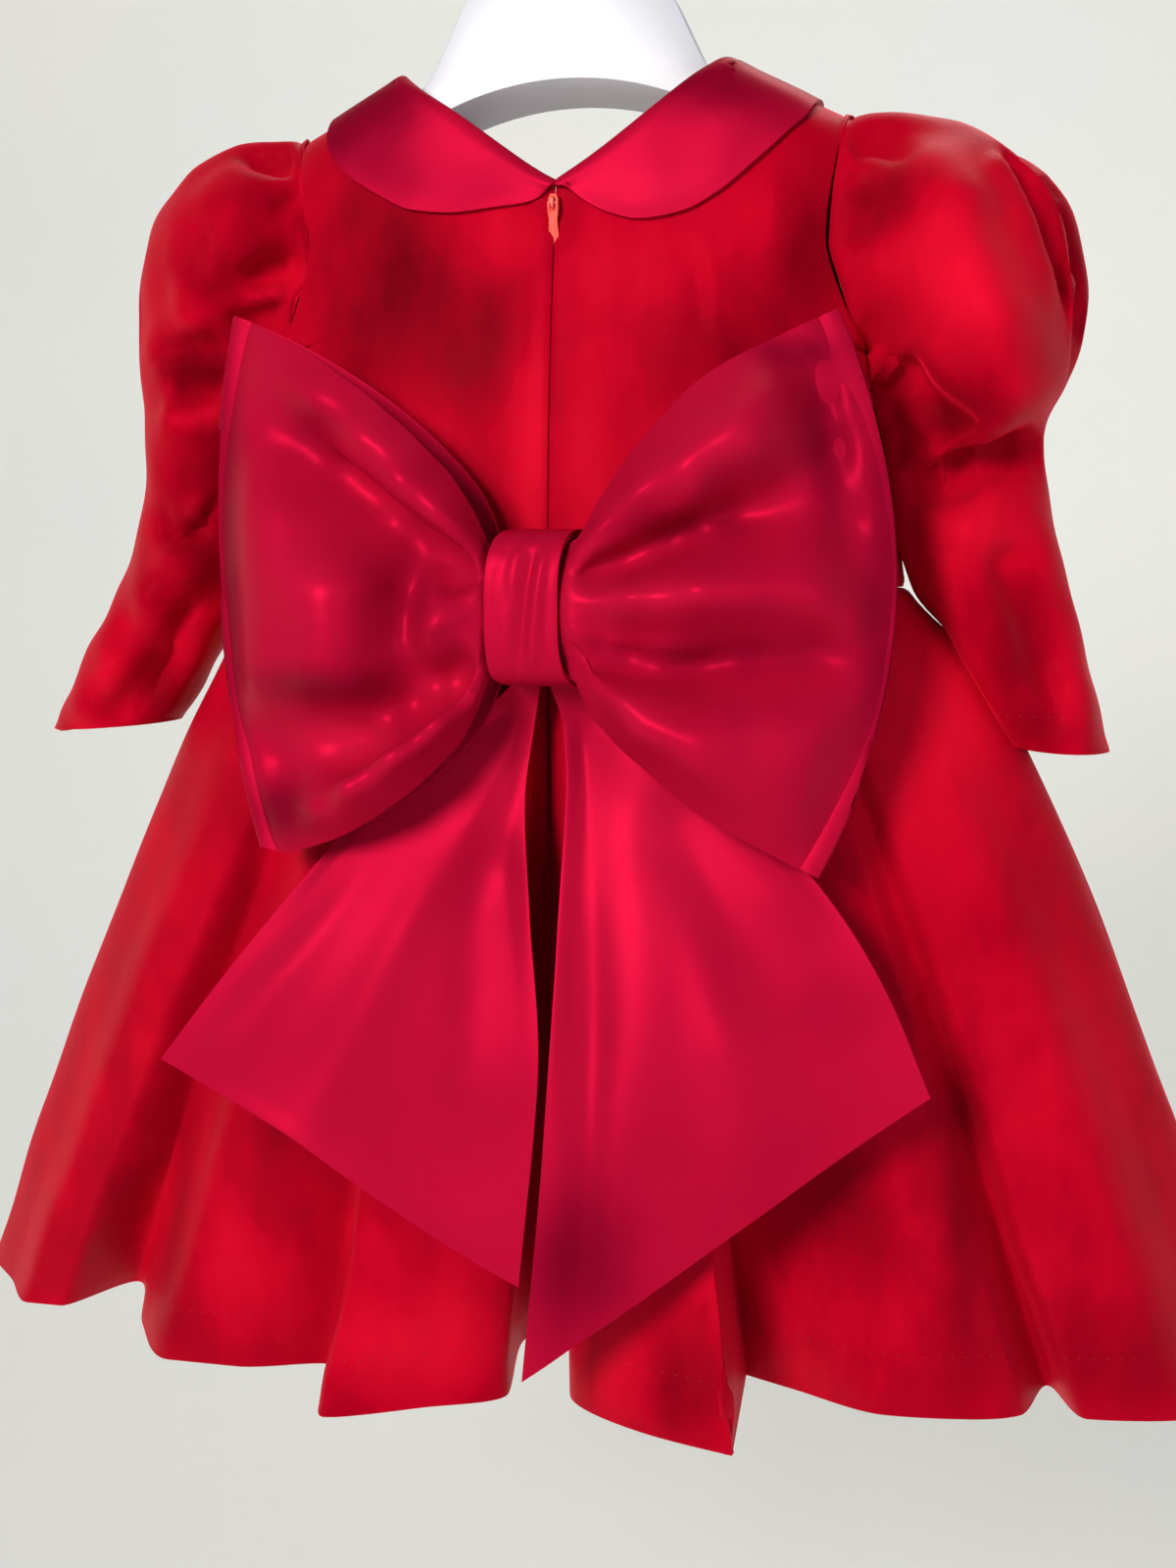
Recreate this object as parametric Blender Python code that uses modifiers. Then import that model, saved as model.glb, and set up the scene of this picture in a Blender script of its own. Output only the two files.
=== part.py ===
"""Toddler party dress on a moulded hanger.

A velvet bodice, pleated skirt and leg-of-mutton sleeves, with a satin collar and a large
satin bow at the centre back. X points right and Y away, seen from behind the dress, and Z up.
The origin is the inside top of the hanger's hook. Sizes and tables are in millimetres.
"""

import math
from collections import namedtuple

import bmesh
import bpy
from mathutils import Vector

MM = 0.001
SEAM = 0.5              # gap between the outer skins of two pieces sewn together
VELVET_WALL = 1.5
SATIN_WALL = 1.3

# ---------------------------------------------------------------- driving sizes
NECK_X = 65.0           # half the neck opening, at the shoulder seams
NECK_Z = -156.0
SHOULDER_X = 109.0
SHOULDER_Z = -176.5
BACK_NECK_Z = -204.0
FRONT_NECK_Z = -222.0
UNDERARM_Z = -262.0
WAIST_Z = -352.0
HEM_Z = -672.0
ARMHOLE_DEPTH = 24.0    # half the armhole, front to back
ARMHOLE_SQUARE = 3.6    # how square the armhole is: 2 is an ellipse
ROUND = 2.6             # how square the body's rounded sections are: 2 is an ellipse
NECK_SQUARE = 10.0      # how square the neck opening is, seen from above
SHOULDER_ROLL = 24.0    # fall over which the cloth turns down from the shoulder seam

HANGER_THICK = 25.0
HANGER_ARCH_RADIUS = 120.0
HANGER_ARCH_Z = -164.0
HANGER_ARCH_X = 92.0
HOOK_RADIUS = 20.0
HOOK_WIRE = 3.6

BOW_X = 3.5             # the bow sits a little right of the centre seam
KNOT_Z = -358.5
KNOT_HALF_HEIGHT = 28.5
KNOT_BACK_Y = -49.0
KNOT_FRONT_Y = -95.0
KNOT_WALL = 2.4
KNOT_SQUARE = 3.4

SLIDER_Z = -208.5
SLIDER_SIZE = (4.0, 2.2, 7.0)
BRIDGE_SIZE = (1.2, 2.0, 4.6)
BRIDGE_HOLE = (1.4, 3.0)        # out from the slider, and along it
PULL_WIDE = 4.2
PULL_LONG = 18.0
PULL_THICK = 0.8
PULL_TILT = math.radians(11.0)  # the pull lies along the sloping back

# ---------------------------------------------------------------- tables of the body
Side = namedtuple("Side", "height reach")
SIDES = (
    Side(-352.0, 133.0),
    Side(-298.0, 124.5),
    Side(-262.0, 116.0),
    Side(-245.0, 108.5),
    Side(-222.0, 102.0),
    Side(-196.0, 105.0),
    Side(-176.5, 109.0),
)

Depth = namedtuple("Depth", "height back front")
DEPTHS = (
    Depth(-352.0, 48.0, 44.0),
    Depth(-300.0, 46.0, 42.0),
    Depth(-240.0, 39.0, 37.0),
    Depth(-201.0, 32.0, 31.5),
    Depth(-150.0, 27.0, 28.0),
)

Pleat = namedtuple("Pleat", "waist_x hem_x hem_y")
PLEAT_OPENING = 1.2     # above 1 the pleats stay flat for longer below the waist
BACK_LEFT_PLEATS = (
    Pleat(0.0, -8.0, 12.0),         # centre-back seam, at the bottom of the inverted pleat
    Pleat(-3.0, -20.0, -15.0),
    Pleat(-6.0, -14.0, -60.0),      # edge of the box pleat left of the centre
    Pleat(-18.0, -45.0, -79.0),
    Pleat(-30.0, -80.0, -94.0),
    Pleat(-34.0, -95.0, -50.0),
    Pleat(-46.0, -130.0, -60.0),
    Pleat(-58.0, -160.0, -60.0),
    Pleat(-66.0, -186.0, -30.0),
    Pleat(-72.0, -208.0, 12.0),     # valley before the side gore
    Pleat(-80.0, -230.0, -20.0),
    Pleat(-98.0, -246.0, -20.0),
    Pleat(-118.0, -266.0, 2.0),
    Pleat(-132.7, -288.5, 27.0),
    Pleat(-133.0, -290.0, 40.0),    # side seam
)
BACK_RIGHT_PLEATS = (
    Pleat(0.0, -8.0, 12.0),
    Pleat(3.0, 4.0, -20.0),
    Pleat(6.0, 11.0, -58.0),        # edge of the box pleat right of the centre
    Pleat(18.0, 45.0, -81.0),
    Pleat(30.0, 80.0, -91.0),
    Pleat(34.0, 77.0, -24.0),
    Pleat(44.0, 98.0, -33.0),
    Pleat(58.0, 134.0, -47.0),
    Pleat(72.0, 165.0, -44.0),
    Pleat(82.0, 186.0, -36.0),
    Pleat(87.0, 197.0, -8.0),       # valley before the side gore
    Pleat(94.0, 211.0, -34.0),
    Pleat(108.0, 245.0, -28.0),
    Pleat(120.0, 270.0, 4.0),
    Pleat(132.7, 288.5, 28.0),
    Pleat(133.0, 290.0, 40.0),
)
FRONT_PLEATS = (
    Pleat(133.0, 290.0, 40.0),
    Pleat(132.7, 288.5, 52.0),
    Pleat(119.0, 266.0, 68.0),
    Pleat(104.0, 232.0, 60.0),
    Pleat(90.0, 200.0, 40.0),
    Pleat(76.0, 170.0, 66.0),
    Pleat(60.0, 132.0, 68.0),
    Pleat(46.0, 100.0, 38.0),
    Pleat(30.0, 66.0, 62.0),
    Pleat(12.0, 26.0, 68.0),
    Pleat(0.0, -4.0, 36.0),
    Pleat(-12.0, -34.0, 66.0),
    Pleat(-30.0, -70.0, 64.0),
    Pleat(-46.0, -104.0, 40.0),
    Pleat(-60.0, -134.0, 66.0),
    Pleat(-76.0, -172.0, 68.0),
    Pleat(-90.0, -202.0, 42.0),
    Pleat(-104.0, -234.0, 62.0),
    Pleat(-119.0, -268.0, 67.0),
    Pleat(-132.7, -288.5, 52.0),
    Pleat(-133.0, -290.0, 40.0),
)

# ---------------------------------------------------------------- tables of the sleeves
Ring = namedtuple("Ring", "place x z tilt half_width half_depth valley back_lobe front_lobe")
SLEEVE_RIGHT = (
    Ring(0.00, 112.0, -219.0, -5.0, 43.0, 24.0, 0.0, 0.0, 0.0),
    Ring(0.12, 129.0, -221.0, 12.0, 46.0, 35.0, 2.0, 0.0, 0.0),
    Ring(0.28, 152.0, -238.0, 38.0, 48.5, 42.0, 7.0, 0.0, 13.0),
    Ring(0.42, 159.5, -259.0, 62.0, 40.0, 43.0, 9.0, 0.0, 13.0),
    Ring(0.53, 160.5, -282.0, 80.0, 33.5, 40.0, 7.0, 0.0, 4.0),
    Ring(0.59, 158.5, -295.0, 82.0, 28.5, 35.0, 3.0, 0.0, 0.0),
    Ring(0.63, 158.0, -305.0, 84.0, 26.0, 29.0, 0.0, 0.0, 0.0),
    Ring(0.74, 163.5, -334.0, 88.0, 24.5, 28.0, 0.0, 0.0, 0.0),
    Ring(0.88, 178.5, -375.0, 92.0, 23.0, 26.0, 0.0, 0.0, 0.0),
    Ring(1.00, 193.5, -414.0, 92.0, 18.5, 24.0, 0.0, 0.0, 0.0),
)
SLEEVE_LEFT = (
    Ring(0.00, 112.0, -219.0, -5.0, 43.0, 24.0, 0.0, 0.0, 0.0),
    Ring(0.12, 128.5, -219.0, 10.0, 45.0, 34.0, 3.0, 0.0, 0.0),
    Ring(0.28, 147.0, -236.0, 36.0, 43.0, 40.0, 9.0, 0.0, 11.0),
    Ring(0.42, 151.5, -262.0, 66.0, 33.0, 39.0, 6.0, 2.0, 3.0),
    Ring(0.53, 153.5, -287.0, 80.0, 28.0, 36.0, 3.0, 0.0, 0.0),
    Ring(0.63, 156.5, -312.0, 86.0, 24.5, 32.0, 2.0, 0.0, 0.0),
    Ring(0.74, 165.0, -340.0, 92.0, 25.0, 29.0, 0.0, 0.0, 0.0),
    Ring(0.88, 182.5, -376.0, 96.0, 26.5, 27.0, 0.0, 0.0, 0.0),
    Ring(1.00, 202.0, -413.0, 94.0, 27.5, 25.0, 0.0, 0.0, 0.0),
)
GATHERS = 7
GATHER_RISE = 2.4

# ---------------------------------------------------------------- tables of folds
# A fold runs from one place to another on its piece; a ridge has a negative depth.
Fold = namedtuple("Fold", "from_across from_down to_across to_down width depth")
SLEEVE_RIGHT_FOLDS = (
    Fold(0.36, 0.05, 0.22, 0.52, 7.0, 9.0),
    Fold(0.33, 0.36, 0.17, 0.50, 6.0, 5.0),
    Fold(0.18, 0.02, 0.16, 0.14, 5.0, 6.0),
)
SLEEVE_LEFT_FOLDS = (
    Fold(0.30, 0.02, 0.22, 0.26, 6.0, 7.0),
    Fold(0.38, 0.04, 0.32, 0.16, 5.0, 5.0),
    Fold(0.14, 0.03, 0.12, 0.16, 5.0, 5.0),
    Fold(0.06, 0.43, 0.30, 0.40, 6.0, 4.0),
    Fold(0.06, 0.68, 0.22, 0.70, 6.0, 4.0),
    Fold(0.15, 0.74, 0.12, 0.98, 8.0, -4.0),
)
LOOP_LEFT_FOLDS = (
    Fold(0.12, 0.32, 0.62, 0.14, 11.0, 12.0),
    Fold(0.10, 0.72, 0.86, 0.86, 9.0, 11.0),
    Fold(0.38, 0.36, 0.34, 0.62, 15.0, 6.0),
    Fold(0.16, 0.10, 0.72, 0.02, 10.0, -4.0),
)
LOOP_RIGHT_FOLDS = (
    Fold(0.10, 0.30, 0.78, 0.28, 10.0, 12.0),
    Fold(0.10, 0.50, 0.80, 0.56, 13.0, -5.0),
    Fold(0.10, 0.72, 0.84, 0.66, 11.0, 10.0),
    Fold(0.78, 0.12, 0.92, 0.44, 8.0, 5.0),
)
TAIL_LEFT_FOLDS = (
    Fold(0.35, 0.05, 0.62, 0.95, 14.0, 5.0),
    Fold(0.72, 0.30, 0.90, 0.95, 12.0, -4.0),
)
TAIL_RIGHT_FOLDS = (
    Fold(0.10, 0.10, 0.14, 0.98, 9.0, 4.0),
    Fold(0.45, 0.15, 0.60, 0.95, 16.0, -5.0),
)

# ---------------------------------------------------------------- tables of the satin pieces
Loop = namedtuple("Loop", "out top_x top_z low_x low_z back_y front_y")
LOOP_LEFT = (
    Loop(0.00, 3.1, -346.0, 3.1, -373.0, -83.0, -59.5),
    Loop(0.10, -12.8, -341.0, -12.3, -379.0, -91.6, -58.0),
    Loop(0.13, -14.5, -336.0, -14.0, -383.5, -93.5, -58.0),
    Loop(0.18, -20.0, -318.0, -19.0, -402.0, -93.0, -58.0),
    Loop(0.30, -35.0, -301.0, -33.0, -418.0, -98.0, -57.0),
    Loop(0.50, -60.0, -280.0, -56.0, -436.0, -97.0, -58.0),
    Loop(0.72, -88.0, -263.0, -80.0, -448.0, -88.0, -59.0),
    Loop(0.90, -107.0, -254.0, -98.0, -452.5, -77.0, -60.0),
    Loop(1.00, -116.0, -250.5, -106.0, -451.0, -66.0, -63.0),
)
LOOP_RIGHT = (
    Loop(0.00, 3.9, -346.0, 3.9, -373.0, -83.0, -59.5),
    Loop(0.10, 14.5, -341.0, 14.5, -379.0, -91.6, -58.0),
    Loop(0.14, 20.2, -340.5, 20.2, -380.0, -93.5, -58.0),
    Loop(0.18, 28.0, -322.0, 28.0, -398.0, -93.0, -58.0),
    Loop(0.30, 40.0, -302.0, 41.0, -413.0, -98.0, -57.0),
    Loop(0.50, 61.0, -279.0, 64.0, -431.0, -97.0, -58.0),
    Loop(0.72, 85.0, -265.0, 85.0, -443.0, -88.0, -59.0),
    Loop(0.90, 101.0, -257.0, 99.0, -451.0, -77.0, -60.0),
    Loop(1.00, 108.5, -253.5, 106.0, -454.5, -66.0, -63.0),
)
LOOP_LEFT_BULGE = 14.0
LOOP_RIGHT_BULGE = 25.0
LOOP_LEAN = 0.12        # the loops stand further out the lower they are, over the skirt

Tail = namedtuple("Tail", "down inner_x inner_z outer_x outer_z inner_y outer_y")
TAIL_LEFT = (
    Tail(0.00, 1.5, -387.4, -9.0, -387.4, -66.0, -66.0),
    Tail(0.10, -2.0, -402.0, -24.0, -400.0, -60.0, -58.5),
    Tail(0.25, -5.0, -430.0, -56.0, -424.0, -64.0, -59.5),
    Tail(0.50, 0.0, -474.0, -94.0, -465.0, -78.0, -65.0),
    Tail(0.75, 6.5, -530.0, -124.0, -502.0, -93.0, -72.0),
    Tail(1.00, 1.5, -608.0, -150.5, -537.5, -104.0, -78.0),
)
TAIL_RIGHT = (
    Tail(0.00, 5.0, -387.4, 17.0, -387.4, -66.0, -66.0),
    Tail(0.10, 8.5, -402.0, 32.0, -400.0, -60.0, -58.5),
    Tail(0.25, 11.0, -430.0, 66.0, -424.0, -65.0, -59.5),
    Tail(0.50, 11.0, -482.0, 108.0, -462.0, -81.0, -65.0),
    Tail(0.75, 9.5, -553.0, 132.0, -497.0, -97.0, -72.0),
    Tail(1.00, 3.5, -643.0, 149.0, -534.0, -108.0, -78.0),
)

# A collar half goes from the centre back, over the shoulder at 0.5, to the centre front.
Collar = namedtuple("Collar", "along neck_x edge_x edge_z")
COLLAR = (
    Collar(0.00, 3.4, 4.4, -205.0),
    Collar(0.04, 4.5, 9.5, -208.3),
    Collar(0.10, 9.0, 20.0, -212.0),
    Collar(0.20, 20.0, 39.0, -211.5),
    Collar(0.30, 34.0, 59.5, -204.5),
    Collar(0.40, 50.0, 80.0, -191.5),
    Collar(0.50, 65.0, 99.0, -171.9),
    Collar(0.60, 56.0, 86.0, -195.0),
    Collar(0.70, 45.0, 69.0, -216.5),
    Collar(0.80, 31.0, 49.0, -235.0),
    Collar(0.90, 16.0, 27.0, -245.0),
    Collar(0.96, 7.0, 12.0, -243.0),
    Collar(1.00, 3.4, 3.9, -233.0),
)
# The collar stands in the neck, rolls over and lies on the bodice.
Roll = namedtuple("Roll", "across share lift rise")
COLLAR_ROLL = (
    Roll(0.00, 0.00, -0.2, 3.2),
    Roll(0.08, 0.00, 0.9, 4.4),
    Roll(0.17, 0.02, 2.4, 3.9),
    Roll(0.27, 0.08, 3.6, 1.8),
    Roll(0.42, 0.25, 3.4, 0.4),
    Roll(0.65, 0.58, 3.1, 0.0),
    Roll(1.00, 1.00, 3.0, 0.0),
)
COLLAR_WALL = 1.8

Band = namedtuple("Band", "turn left right")
KNOT_EDGES = (                      # turn 0 is the top, 0.25 the side that is seen, 0.5 the bottom
    Band(0.00, -6.5, 19.0),
    Band(0.12, -10.5, 16.0),
    Band(0.25, -12.5, 14.5),
    Band(0.38, -11.5, 16.0),
    Band(0.50, -7.0, 19.0),
    Band(0.75, -7.0, 18.0),
    Band(1.00, -6.5, 19.0),
)

HANGER_EDGE = (                     # right half, from the neck of the hanger to its arm
    (11.0, -86.0),
    (12.5, -94.0),
    (20.0, -105.0),
    (31.0, -115.0),
    (40.0, -128.0),
    (49.0, -146.0),
    (55.0, -156.4),
    (63.0, -162.0),
    (91.0, -172.3),
    (98.0, -180.0),
    (100.0, -191.0),
    (98.0, -205.0),
)


# ---------------------------------------------------------------- shared functions
def ease(t):
    """0 to 1 with a soft start and end."""
    t = min(max(t, 0.0), 1.0)
    return t * t * (3.0 - 2.0 * t)


def knee(rate_in, rate_out, span_in, span_out):
    """The slope at a row, which never makes the curve overshoot it."""
    if rate_in * rate_out <= 0.0:
        return 0.0
    weight_in = 2.0 * span_out + span_in
    weight_out = span_out + 2.0 * span_in
    return (weight_in + weight_out) / (weight_in / rate_in + weight_out / rate_out)


def read(table, key):
    """The row of a table at a key in its first column, on a smooth curve through the rows."""
    keys = [row[0] for row in table]
    key = min(max(key, keys[0]), keys[-1])
    last = len(keys) - 2
    first = max(i for i in range(last + 1) if keys[i] <= key or i == 0)
    span = keys[first + 1] - keys[first]
    t = (key - keys[first]) / span
    values = []
    for column in range(1, len(table[0])):
        rates = [
            (table[i + 1][column] - table[i][column]) / (keys[i + 1] - keys[i])
            for i in range(max(first - 1, 0), min(first + 1, last) + 1)
        ]
        here = rates[1] if first > 0 else rates[0]
        start = here
        end = here
        if first > 0:
            start = knee(rates[0], here, keys[first] - keys[first - 1], span)
        if first < last:
            end = knee(here, rates[-1], span, keys[first + 2] - keys[first + 1])
        low = table[first][column]
        high = table[first + 1][column]
        values.append(
            low * (1 + 2 * t) * (1 - t) ** 2
            + high * t * t * (3 - 2 * t)
            + span * start * t * (1 - t) ** 2
            - span * end * t * t * (1 - t)
        )
    return type(table[0])(key, *values)


def steps(count, low=0.0, high=1.0):
    """Evenly spaced places from low to high."""
    return [low + (high - low) * i / count for i in range(count + 1)]


def fold_depth(folds, across, down, wide, long):
    """How far all folds together push a piece in, at a place on it."""
    total = 0.0
    for fold in folds:
        start = Vector((fold.from_across * wide, fold.from_down * long))
        run = Vector((fold.to_across * wide, fold.to_down * long)) - start
        place = Vector((across * wide, down * long)) - start
        along = place.dot(run) / run.length_squared
        off = (place - run * along).length
        ends = ease((along + 0.15) / 0.30) * ease((1.15 - along) / 0.30)
        total += fold.depth * ends * math.exp(-((off / fold.width) ** 2))
    return total


def make_material(name, colour, roughness, metallic=0.0, sheen=0.0):
    material = bpy.data.materials.new(name)
    material.use_nodes = True
    shader = material.node_tree.nodes["Principled BSDF"]
    shader.inputs["Base Color"].default_value = (*colour, 1.0)
    shader.inputs["Roughness"].default_value = roughness
    shader.inputs["Metallic"].default_value = metallic
    shader.inputs["Sheen Weight"].default_value = sheen
    material.diffuse_color = (*colour, 1.0)
    return material


def link(item, name, material):
    """Name an object, give it its material and put it in the dress's collection."""
    item.name = name
    item.data.name = name
    item.data.materials.clear()
    item.data.materials.append(material)
    for home in list(item.users_collection):
        home.objects.unlink(item)
    DRESS.objects.link(item)
    return item


def cloth(name, point, columns, rows, material, wall, turned=False, closed=False):
    """A wall of cloth through the outer points point(across, down), thickened inwards."""
    shape = bmesh.new()
    across = columns[:-1] if closed else columns
    grid = [[shape.verts.new(point(u, v) * MM) for u in across] for v in rows]
    for upper, lower in zip(grid, grid[1:]):
        for i in range(len(columns) - 1):
            j = (i + 1) % len(across)
            corners = [upper[i], lower[i], lower[j], upper[j]]
            shape.faces.new(corners[::-1] if turned else corners)
    mesh = bpy.data.meshes.new(name)
    shape.to_mesh(mesh)
    shape.free()
    mesh.shade_smooth()
    item = link(bpy.data.objects.new(name, mesh), name, material)
    thicken = item.modifiers.new("Cloth wall", "SOLIDIFY")
    thicken.thickness = wall * MM
    thicken.offset = -1.0
    return item


# ---------------------------------------------------------------- bodice
def neckline(x, face):
    """Height of the bodice's top edge at x: neckline, then shoulder seam. Face is -1 at the back."""
    if x >= NECK_X:
        return NECK_Z + (SHOULDER_Z - NECK_Z) * (x - NECK_X) / (SHOULDER_X - NECK_X)
    if face < 0:
        return BACK_NECK_Z + (NECK_Z - BACK_NECK_Z) * (x / NECK_X) ** 1.15
    return FRONT_NECK_Z + (NECK_Z - FRONT_NECK_Z) * (x / NECK_X) ** 2


def armhole_depth(height):
    """Distance of the armhole's edge from the side seam plane."""
    middle = (SHOULDER_Z + UNDERARM_Z) / 2
    half = (SHOULDER_Z - UNDERARM_Z) / 2
    share = min(1.0, abs(height - middle) / half)
    return ARMHOLE_DEPTH * (1.0 - share ** ARMHOLE_SQUARE) ** (1.0 / ARMHOLE_SQUARE)


def body_depth(height, face):
    depth = read(DEPTHS, height)
    return depth.back if face < 0 else depth.front


def bodice_point(across, down, side, face):
    """Outer skin of the bodice: across from the centre to the side, down from the top to the waist."""
    top = neckline(across * SHOULDER_X, face)
    height = top + down * (WAIST_Z - top)
    edge = SHOULDER_Z + down * (WAIST_Z - SHOULDER_Z)
    x = across * read(SIDES, edge).reach
    roundness = math.sqrt(max(0.0, 1.0 - across ** ROUND))
    full = body_depth(height, face) * roundness + armhole_depth(edge) * (1.0 - roundness)
    neck = across * SHOULDER_X / NECK_X
    start = body_depth(top, face) * math.sqrt(max(0.0, 1.0 - neck ** NECK_SQUARE))
    turn = min(1.0, (top - height) / SHOULDER_ROLL)
    y = start + (full - start) * (1.0 - (1.0 - turn) ** ROUND) ** (1.0 / ROUND)
    return Vector((side * x, face * (y + SEAM / 2), height))


def bodice_place(x, height, face):
    """The place on the bodice, as (across, down, face), at an x and a height."""
    across = x / SHOULDER_X
    down = 0.0
    for _ in range(20):
        top = neckline(across * SHOULDER_X, face)
        down = max(0.0, (top - height) / (top - WAIST_Z))
        edge = SHOULDER_Z + down * (WAIST_Z - SHOULDER_Z)
        across = x / read(SIDES, edge).reach
    return across, down, face


NECK_ACROSS = NECK_X / SHOULDER_X
BODICE_COLUMNS = [0.0, 0.14, 0.28, 0.40, 0.50, 0.56, 0.585, NECK_ACROSS]
BODICE_COLUMNS += [0.64, 0.72, 0.80, 0.88, 0.95, 0.997, 1.0]
BODICE_ROWS = [0.0, 0.003, 0.016, 0.045, 0.10, 0.18, 0.28, 0.39, 0.487, 0.70, 1.0]


def build_bodice():
    def back(side):
        def point(across, down):
            place = bodice_point(across, down, side, -1)
            place.x += side * SEAM / 2 * (1.0 - across)
            return place
        return point

    def front(across, down):
        side = -1.0 if across < 0.0 else 1.0
        return bodice_point(abs(across), down, side, 1)

    whole = [-u for u in BODICE_COLUMNS[:0:-1]] + BODICE_COLUMNS
    cloth("bodice_back_left", back(-1), BODICE_COLUMNS, BODICE_ROWS, VELVET, VELVET_WALL, turned=True)
    cloth("bodice_back_right", back(1), BODICE_COLUMNS, BODICE_ROWS, VELVET, VELVET_WALL)
    cloth("bodice_front", front, whole, BODICE_ROWS, VELVET, VELVET_WALL, turned=True)


# ---------------------------------------------------------------- skirt
Numbered = namedtuple("Numbered", "number waist_x hem_x hem_y")


def pleat_row(pleats, across):
    """The table's row at a share of its length, smooth through every row."""
    place = across * (len(pleats) - 1)
    numbered = [Numbered(i, *row) for i, row in enumerate(pleats)]
    return read(numbered, place)


def skirt_point(pleats, face, across, down):
    """Outer skin of the skirt: the pleats open from the flat waist to the hem."""
    row = pleat_row(pleats, across)
    reach = read(SIDES, WAIST_Z).reach
    share = min(abs(row.waist_x) / reach, 1.0)
    waist_y = face * (body_depth(WAIST_Z, face) * math.sqrt(max(0.0, 1.0 - share ** ROUND)) + SEAM / 2)
    flare = 7.0 * math.sin(math.pi * down) * row.hem_x / 290.0
    x = row.waist_x + (row.hem_x - row.waist_x) * down + flare
    y = waist_y + (row.hem_y - waist_y) * down ** PLEAT_OPENING
    return Vector((x, y, WAIST_Z - 2 * SEAM + (HEM_Z - WAIST_Z) * down))


SKIRT_ROWS = [0.0, 0.06, 0.15, 0.27, 0.41, 0.56, 0.71, 0.86, 1.0]


def build_skirt():
    def back(pleats, side):
        def point(across, down):
            place = skirt_point(pleats, -1, across, down)
            place.x += side * SEAM / 2 * (1.0 - ease(across * 12))
            place.y -= SEAM / 2 * ease((across - 0.9) * 10)
            return place
        return point

    def front(across, down):
        place = skirt_point(FRONT_PLEATS, 1, across, down)
        ends = 1.0 - ease(min(across, 1.0 - across) * 12)
        place.y += SEAM / 2 * ends
        return place

    left = steps(2 * (len(BACK_LEFT_PLEATS) - 1))
    right = steps(2 * (len(BACK_RIGHT_PLEATS) - 1))
    across = steps(2 * (len(FRONT_PLEATS) - 1))
    cloth("skirt_back_left", back(BACK_LEFT_PLEATS, -1), left, SKIRT_ROWS, VELVET, VELVET_WALL, turned=True)
    cloth("skirt_back_right", back(BACK_RIGHT_PLEATS, 1), right, SKIRT_ROWS, VELVET, VELVET_WALL)
    cloth("skirt_front", front, across, SKIRT_ROWS, VELVET, VELVET_WALL)


# ---------------------------------------------------------------- sleeves
SLEEVE_LONG = 270.0
SLEEVE_ROUND = 220.0
SLEEVE_START = 0.5      # the sleeve's seam edge stands this far outside the armhole's


def armhole_edge(angle):
    """The armhole's edge, from its top round by the back (0.25), the underarm and the front (0.75)."""
    middle = (SHOULDER_Z + UNDERARM_Z) / 2
    half = (SHOULDER_Z - UNDERARM_Z) / 2
    power = 2.0 / ARMHOLE_SQUARE
    height = middle + half * math.copysign(abs(math.cos(angle)) ** power, math.cos(angle))
    y = -ARMHOLE_DEPTH * math.copysign(abs(math.sin(angle)) ** power, math.sin(angle))
    return Vector((read(SIDES, height).reach + SLEEVE_START, y, height))


def sleeve_point(rings, folds, side, across, down):
    """Outer skin of a sleeve: across goes round it, down from the armhole to the hem."""
    angle = 2 * math.pi * across
    ring = read(rings, down)
    tilt = math.radians(ring.tilt)
    outwards = Vector((math.sin(tilt), 0.0, math.cos(tilt)))
    turn = angle if angle <= math.pi else angle - 2 * math.pi
    reach = ring.half_width * math.cos(angle)
    reach -= ring.valley * math.exp(-((turn / 0.30) ** 2))
    reach += ring.back_lobe * math.exp(-(((turn - 0.75) / 0.45) ** 2))
    reach += ring.front_lobe * math.exp(-(((turn + 0.75) / 0.45) ** 2))
    deep = -ring.half_depth * math.sin(angle)
    spread = Vector((0.0, deep, 0.0)) + outwards * reach
    puckers = GATHER_RISE * math.sin(GATHERS * angle) * ease(down / 0.05) * ease((0.30 - down) / 0.25)
    puckers *= ease((1.25 + math.cos(angle)) / 1.5)
    inwards = fold_depth(folds, across, down, SLEEVE_ROUND, SLEEVE_LONG) * ease(down / 0.05)
    spread *= 1.0 + (puckers - inwards) / spread.length
    free = Vector((ring.x, 0.0, ring.z)) + spread
    place = armhole_edge(angle).lerp(free, ease(down / 0.16))
    return Vector((side * place.x, place.y, place.z))


SLEEVE_DOWN = [0.0, 0.035, 0.08, 0.14, 0.21, 0.29, 0.38, 0.47, 0.54, 0.59, 0.63, 0.72, 0.86, 1.0]


def build_sleeves():
    def shape(rings, folds, side):
        return lambda across, down: sleeve_point(rings, folds, side, across, down)

    round_it = steps(30)
    right = shape(SLEEVE_RIGHT, SLEEVE_RIGHT_FOLDS, 1)
    left = shape(SLEEVE_LEFT, SLEEVE_LEFT_FOLDS, -1)
    cloth("sleeve_right", right, round_it, SLEEVE_DOWN, VELVET, VELVET_WALL, turned=True, closed=True)
    cloth("sleeve_left", left, round_it, SLEEVE_DOWN, VELVET, VELVET_WALL, closed=True)


# ---------------------------------------------------------------- collar
def collar_ground(along, share):
    """Where the collar lies on the bodice, as (across, down, face)."""
    row = read(COLLAR, along)
    face = -1 if along <= 0.5 else 1
    x = row.neck_x + (row.edge_x - row.neck_x) * share
    top = neckline(row.neck_x, face)
    height = top + (row.edge_z - top) * share
    return bodice_place(x, height, face)


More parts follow.
